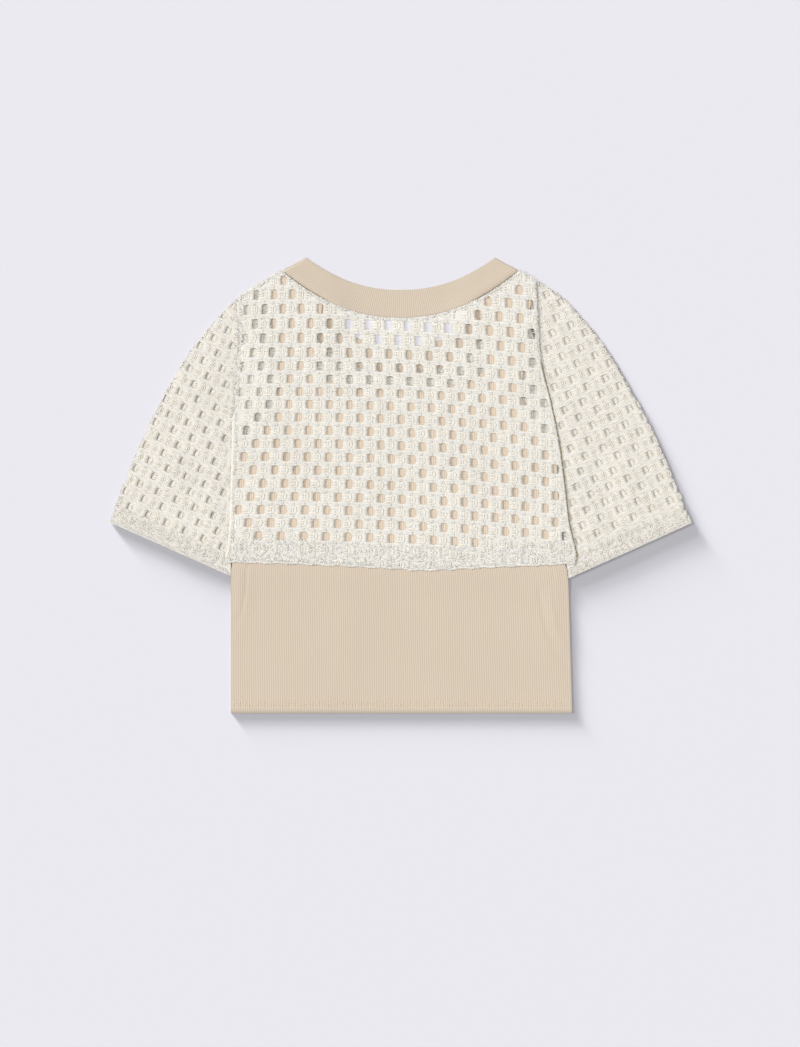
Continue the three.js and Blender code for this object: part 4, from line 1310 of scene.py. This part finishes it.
def hem_stitches(cloth):
    """The tank's hem seam: two rows of stitches with the zigzag of a third thread between them."""
    rib = scene_settings().croptop_rib
    left, right, bottom = side_lines(cloth)
    batch = Batch()
    for row in HEM_STITCH_ROWS:
        y = bottom + row["above"]
        low = np.interp(y, left[:, 1], left[:, 0]) + 1.0 * MM
        high = np.interp(y, right[:, 1], right[:, 0]) - 1.0 * MM
        count = int((high - low) / rib.stitch)
        starts = low + (np.arange(count) + 0.5) * (high - low) / count
        steps = np.linspace(-0.5, 0.5, 4)
        path = np.stack([steps, np.zeros(4), np.array([-0.5, 0.35, 0.35, -0.5]) * 0.4 * MM], axis=1)
        path[:, 0] *= rib.stitch * 0.72
        vertices, polygons = tube(path, HEM_THREAD, HEM_THREAD, 5)
        x = starts[:, None] + vertices[None, :, 0]
        slant = np.where(np.arange(count) % 2 == 0, 1.0, -1.0)[:, None] * row["lean"]
        py = y + vertices[None, :, 1] + slant * vertices[None, :, 0]
        z = cloth.sample(cloth.top, x, py) + vertices[None, :, 2]
        batch.add(np.stack([x, py, z], axis=2), polygons)
    return batch.piece("tank_hem_stitches", stitch_thread(), "rib")


class CROPTOP_OT_tank(bpy.types.Operator):
    """Makes the tank's front and back in fine rib, with its hem stitches"""
    bl_idname = "croptop.tank"
    bl_label = "Tank"

    def execute(self, context):
        tank_panel("tank_front")
        back = tank_panel("tank_back")
        hem_stitches(back)
        return {"FINISHED"}


def neck_height(neck, x):
    return neck["centre"] + neck["depth"] * (abs(x) / neck["half_width"]) ** neck["power"]


def neck_spot(inner, outer, share, across):
    """A place on the band: share of the half width, and how far from inner to outer edge."""
    from_x = inner["half_width"] * share
    to_x = outer["half_width"] * share
    from_y = neck_height(inner, from_x)
    to_y = neck_height(outer, to_x)
    return np.array([from_x + (to_x - from_x) * across, from_y + (to_y - from_y) * across])


def band_stations():
    """Places round the neckband: (part, share, turn), evenly along each part."""
    def spaced(inner, outer, count):
        shares = np.linspace(-BAND_FOLD_AT, BAND_FOLD_AT, 400)
        line = np.array([neck_spot(inner, outer, s, 0.5) for s in shares])
        lengths = np.concatenate([[0.0], np.cumsum(np.hypot(*np.diff(line, axis=0).T))])
        return np.interp(np.linspace(0.0, lengths[-1], count), lengths, shares)

    back_shares = spaced(BACK_NECK_INNER, BACK_NECK_OUTER, NECK_RIBS["back"] * RIB_SAMPLES + 1)
    front_shares = spaced(FRONT_NECK_INNER, FRONT_NECK_OUTER, NECK_RIBS["front"] * RIB_SAMPLES + 1)
    back = [("back", s, 0.0) for s in back_shares]
    front = [("front", s, math.pi) for s in front_shares[::-1]]
    turns = np.linspace(0.0, math.pi, 9)[1:-1]
    right = [("fold", BAND_FOLD_AT, t) for t in turns]
    left = [("fold", -BAND_FOLD_AT, t) for t in turns[::-1]]
    return back + right + front + left


def neckband_rib():
    """The neckband: a ring of doubled rib, folded flat at both shoulders."""
    rib = scene_settings().croptop_rib
    cloth = Cloth("neckband")
    widths = np.concatenate([[0.0, 0.02, 0.06], np.linspace(0.14, 0.86, 5), [0.94, 0.98, 1.0]])
    swell = np.concatenate([[0.25, 0.7, 0.95], np.ones(5), [0.95, 0.7, 0.25]])
    points, ridges = [], []
    for number, (part, share, turn) in enumerate(band_stations()):
        profile = abs(math.cos(math.pi * number / RIB_SAMPLES)) ** RIB_SQUARENESS
        ridges.append(profile)
        ridge = profile * rib.rib_height
        outer_side, inner_side = [], []
        for across, full in zip(widths, swell):
            thick = (BAND_WALL - 2 * rib.rib_height) * full * 0.5 + ridge * full
            if part == "front":
                spot = neck_spot(FRONT_NECK_INNER, FRONT_NECK_OUTER, share, across)
                middle = BAND_WALL * 0.5
                outer_side.append((spot[0], spot[1], middle - thick))
                inner_side.append((spot[0], spot[1], middle + thick))
                continue
            spot = neck_spot(BACK_NECK_INNER, BACK_NECK_OUTER, share, across)
            upper = float(cloth.sample(cloth.top, spot[0], spot[1])) - BAND_WALL * 0.5
            if part == "back":
                outer_side.append((spot[0], spot[1], upper + thick))
                inner_side.append((spot[0], spot[1], upper - thick))
                continue
            side = math.copysign(1.0, share)
            start = neck_spot(BACK_NECK_INNER, BACK_NECK_OUTER, share, 0.0)
            end = neck_spot(BACK_NECK_INNER, BACK_NECK_OUTER, share, 1.0)
            along = (end - start) / np.linalg.norm(end - start)
            away = np.array([-along[1], along[0]]) * side
            centre = (upper + BAND_WALL * 0.5) * 0.5
            radius = (upper - BAND_WALL * 0.5) * 0.5
            for layer, reach in ((outer_side, radius + thick), (inner_side, radius - thick)):
                moved = spot + away * reach * math.sin(turn)
                layer.append((moved[0], moved[1], centre + reach * math.cos(turn)))
        points.append(outer_side + inner_side[::-1])
    points = np.array(points)
    count, around = points.shape[:2]
    i = np.arange(count)[:, None]
    k = np.arange(around)[None, :]
    a = (i * around + k).ravel()
    b = (i * around + (k + 1) % around).ravel()
    c = (((i + 1) % count) * around + (k + 1) % around).ravel()
    d = (((i + 1) % count) * around + k).ravel()
    piece = new_piece("neckband_rib", points.reshape(-1, 3), [np.stack([a, b, c, d], axis=1)],
                      rib_cloth(), "rib")
    ridges = (np.array(ridges) - min(ridges)) / (1.0 - min(ridges))
    mark_ridges(piece, np.repeat(ridges, around))
    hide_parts("neckband")
    return cloth


class CROPTOP_OT_neckband(bpy.types.Operator):
    """Makes the ribbed neckband"""
    bl_idname = "croptop.neckband"
    bl_label = "Neckband"

    def execute(self, context):
        neckband_rib()
        return {"FINISHED"}


class CROPTOP_PT_sidebar(bpy.types.Panel):
    """Lists the steps that make the crop top"""
    bl_idname = "CROPTOP_PT_sidebar"
    bl_label = "Crop Top"
    bl_space_type = "VIEW_3D"
    bl_region_type = "UI"
    bl_category = "Crop Top"

    def draw(self, context):
        layout = self.layout
        for settings in (context.scene.croptop_knit, context.scene.croptop_rib,
                         context.scene.croptop_stage):
            box = layout.box()
            for name in settings.__annotations__:
                box.prop(settings, name)
        for step in STEPS:
            layout.operator(step.bl_idname)


STEPS = (CROPTOP_OT_tank, CROPTOP_OT_overlay, CROPTOP_OT_sleeves, CROPTOP_OT_neckband,
         CROPTOP_OT_stage)
SETTINGS = (CROPTOP_PG_knit, CROPTOP_PG_rib, CROPTOP_PG_stage)


def register():
    for cls in SETTINGS + STEPS + (CROPTOP_PT_sidebar,):
        bpy.utils.register_class(cls)
    bpy.types.Scene.croptop_knit = bpy.props.PointerProperty(type=CROPTOP_PG_knit)
    bpy.types.Scene.croptop_rib = bpy.props.PointerProperty(type=CROPTOP_PG_rib)
    bpy.types.Scene.croptop_stage = bpy.props.PointerProperty(type=CROPTOP_PG_stage)


def unregister():
    del bpy.types.Scene.croptop_stage
    del bpy.types.Scene.croptop_rib
    del bpy.types.Scene.croptop_knit
    for cls in reversed(SETTINGS + STEPS + (CROPTOP_PT_sidebar,)):
        bpy.utils.unregister_class(cls)


def main():
    register()
    bpy.ops.croptop.tank()
    bpy.ops.croptop.overlay()
    bpy.ops.croptop.sleeves()
    bpy.ops.croptop.neckband()
    bpy.ops.croptop.stage()


if __name__ == "__main__":
    main()
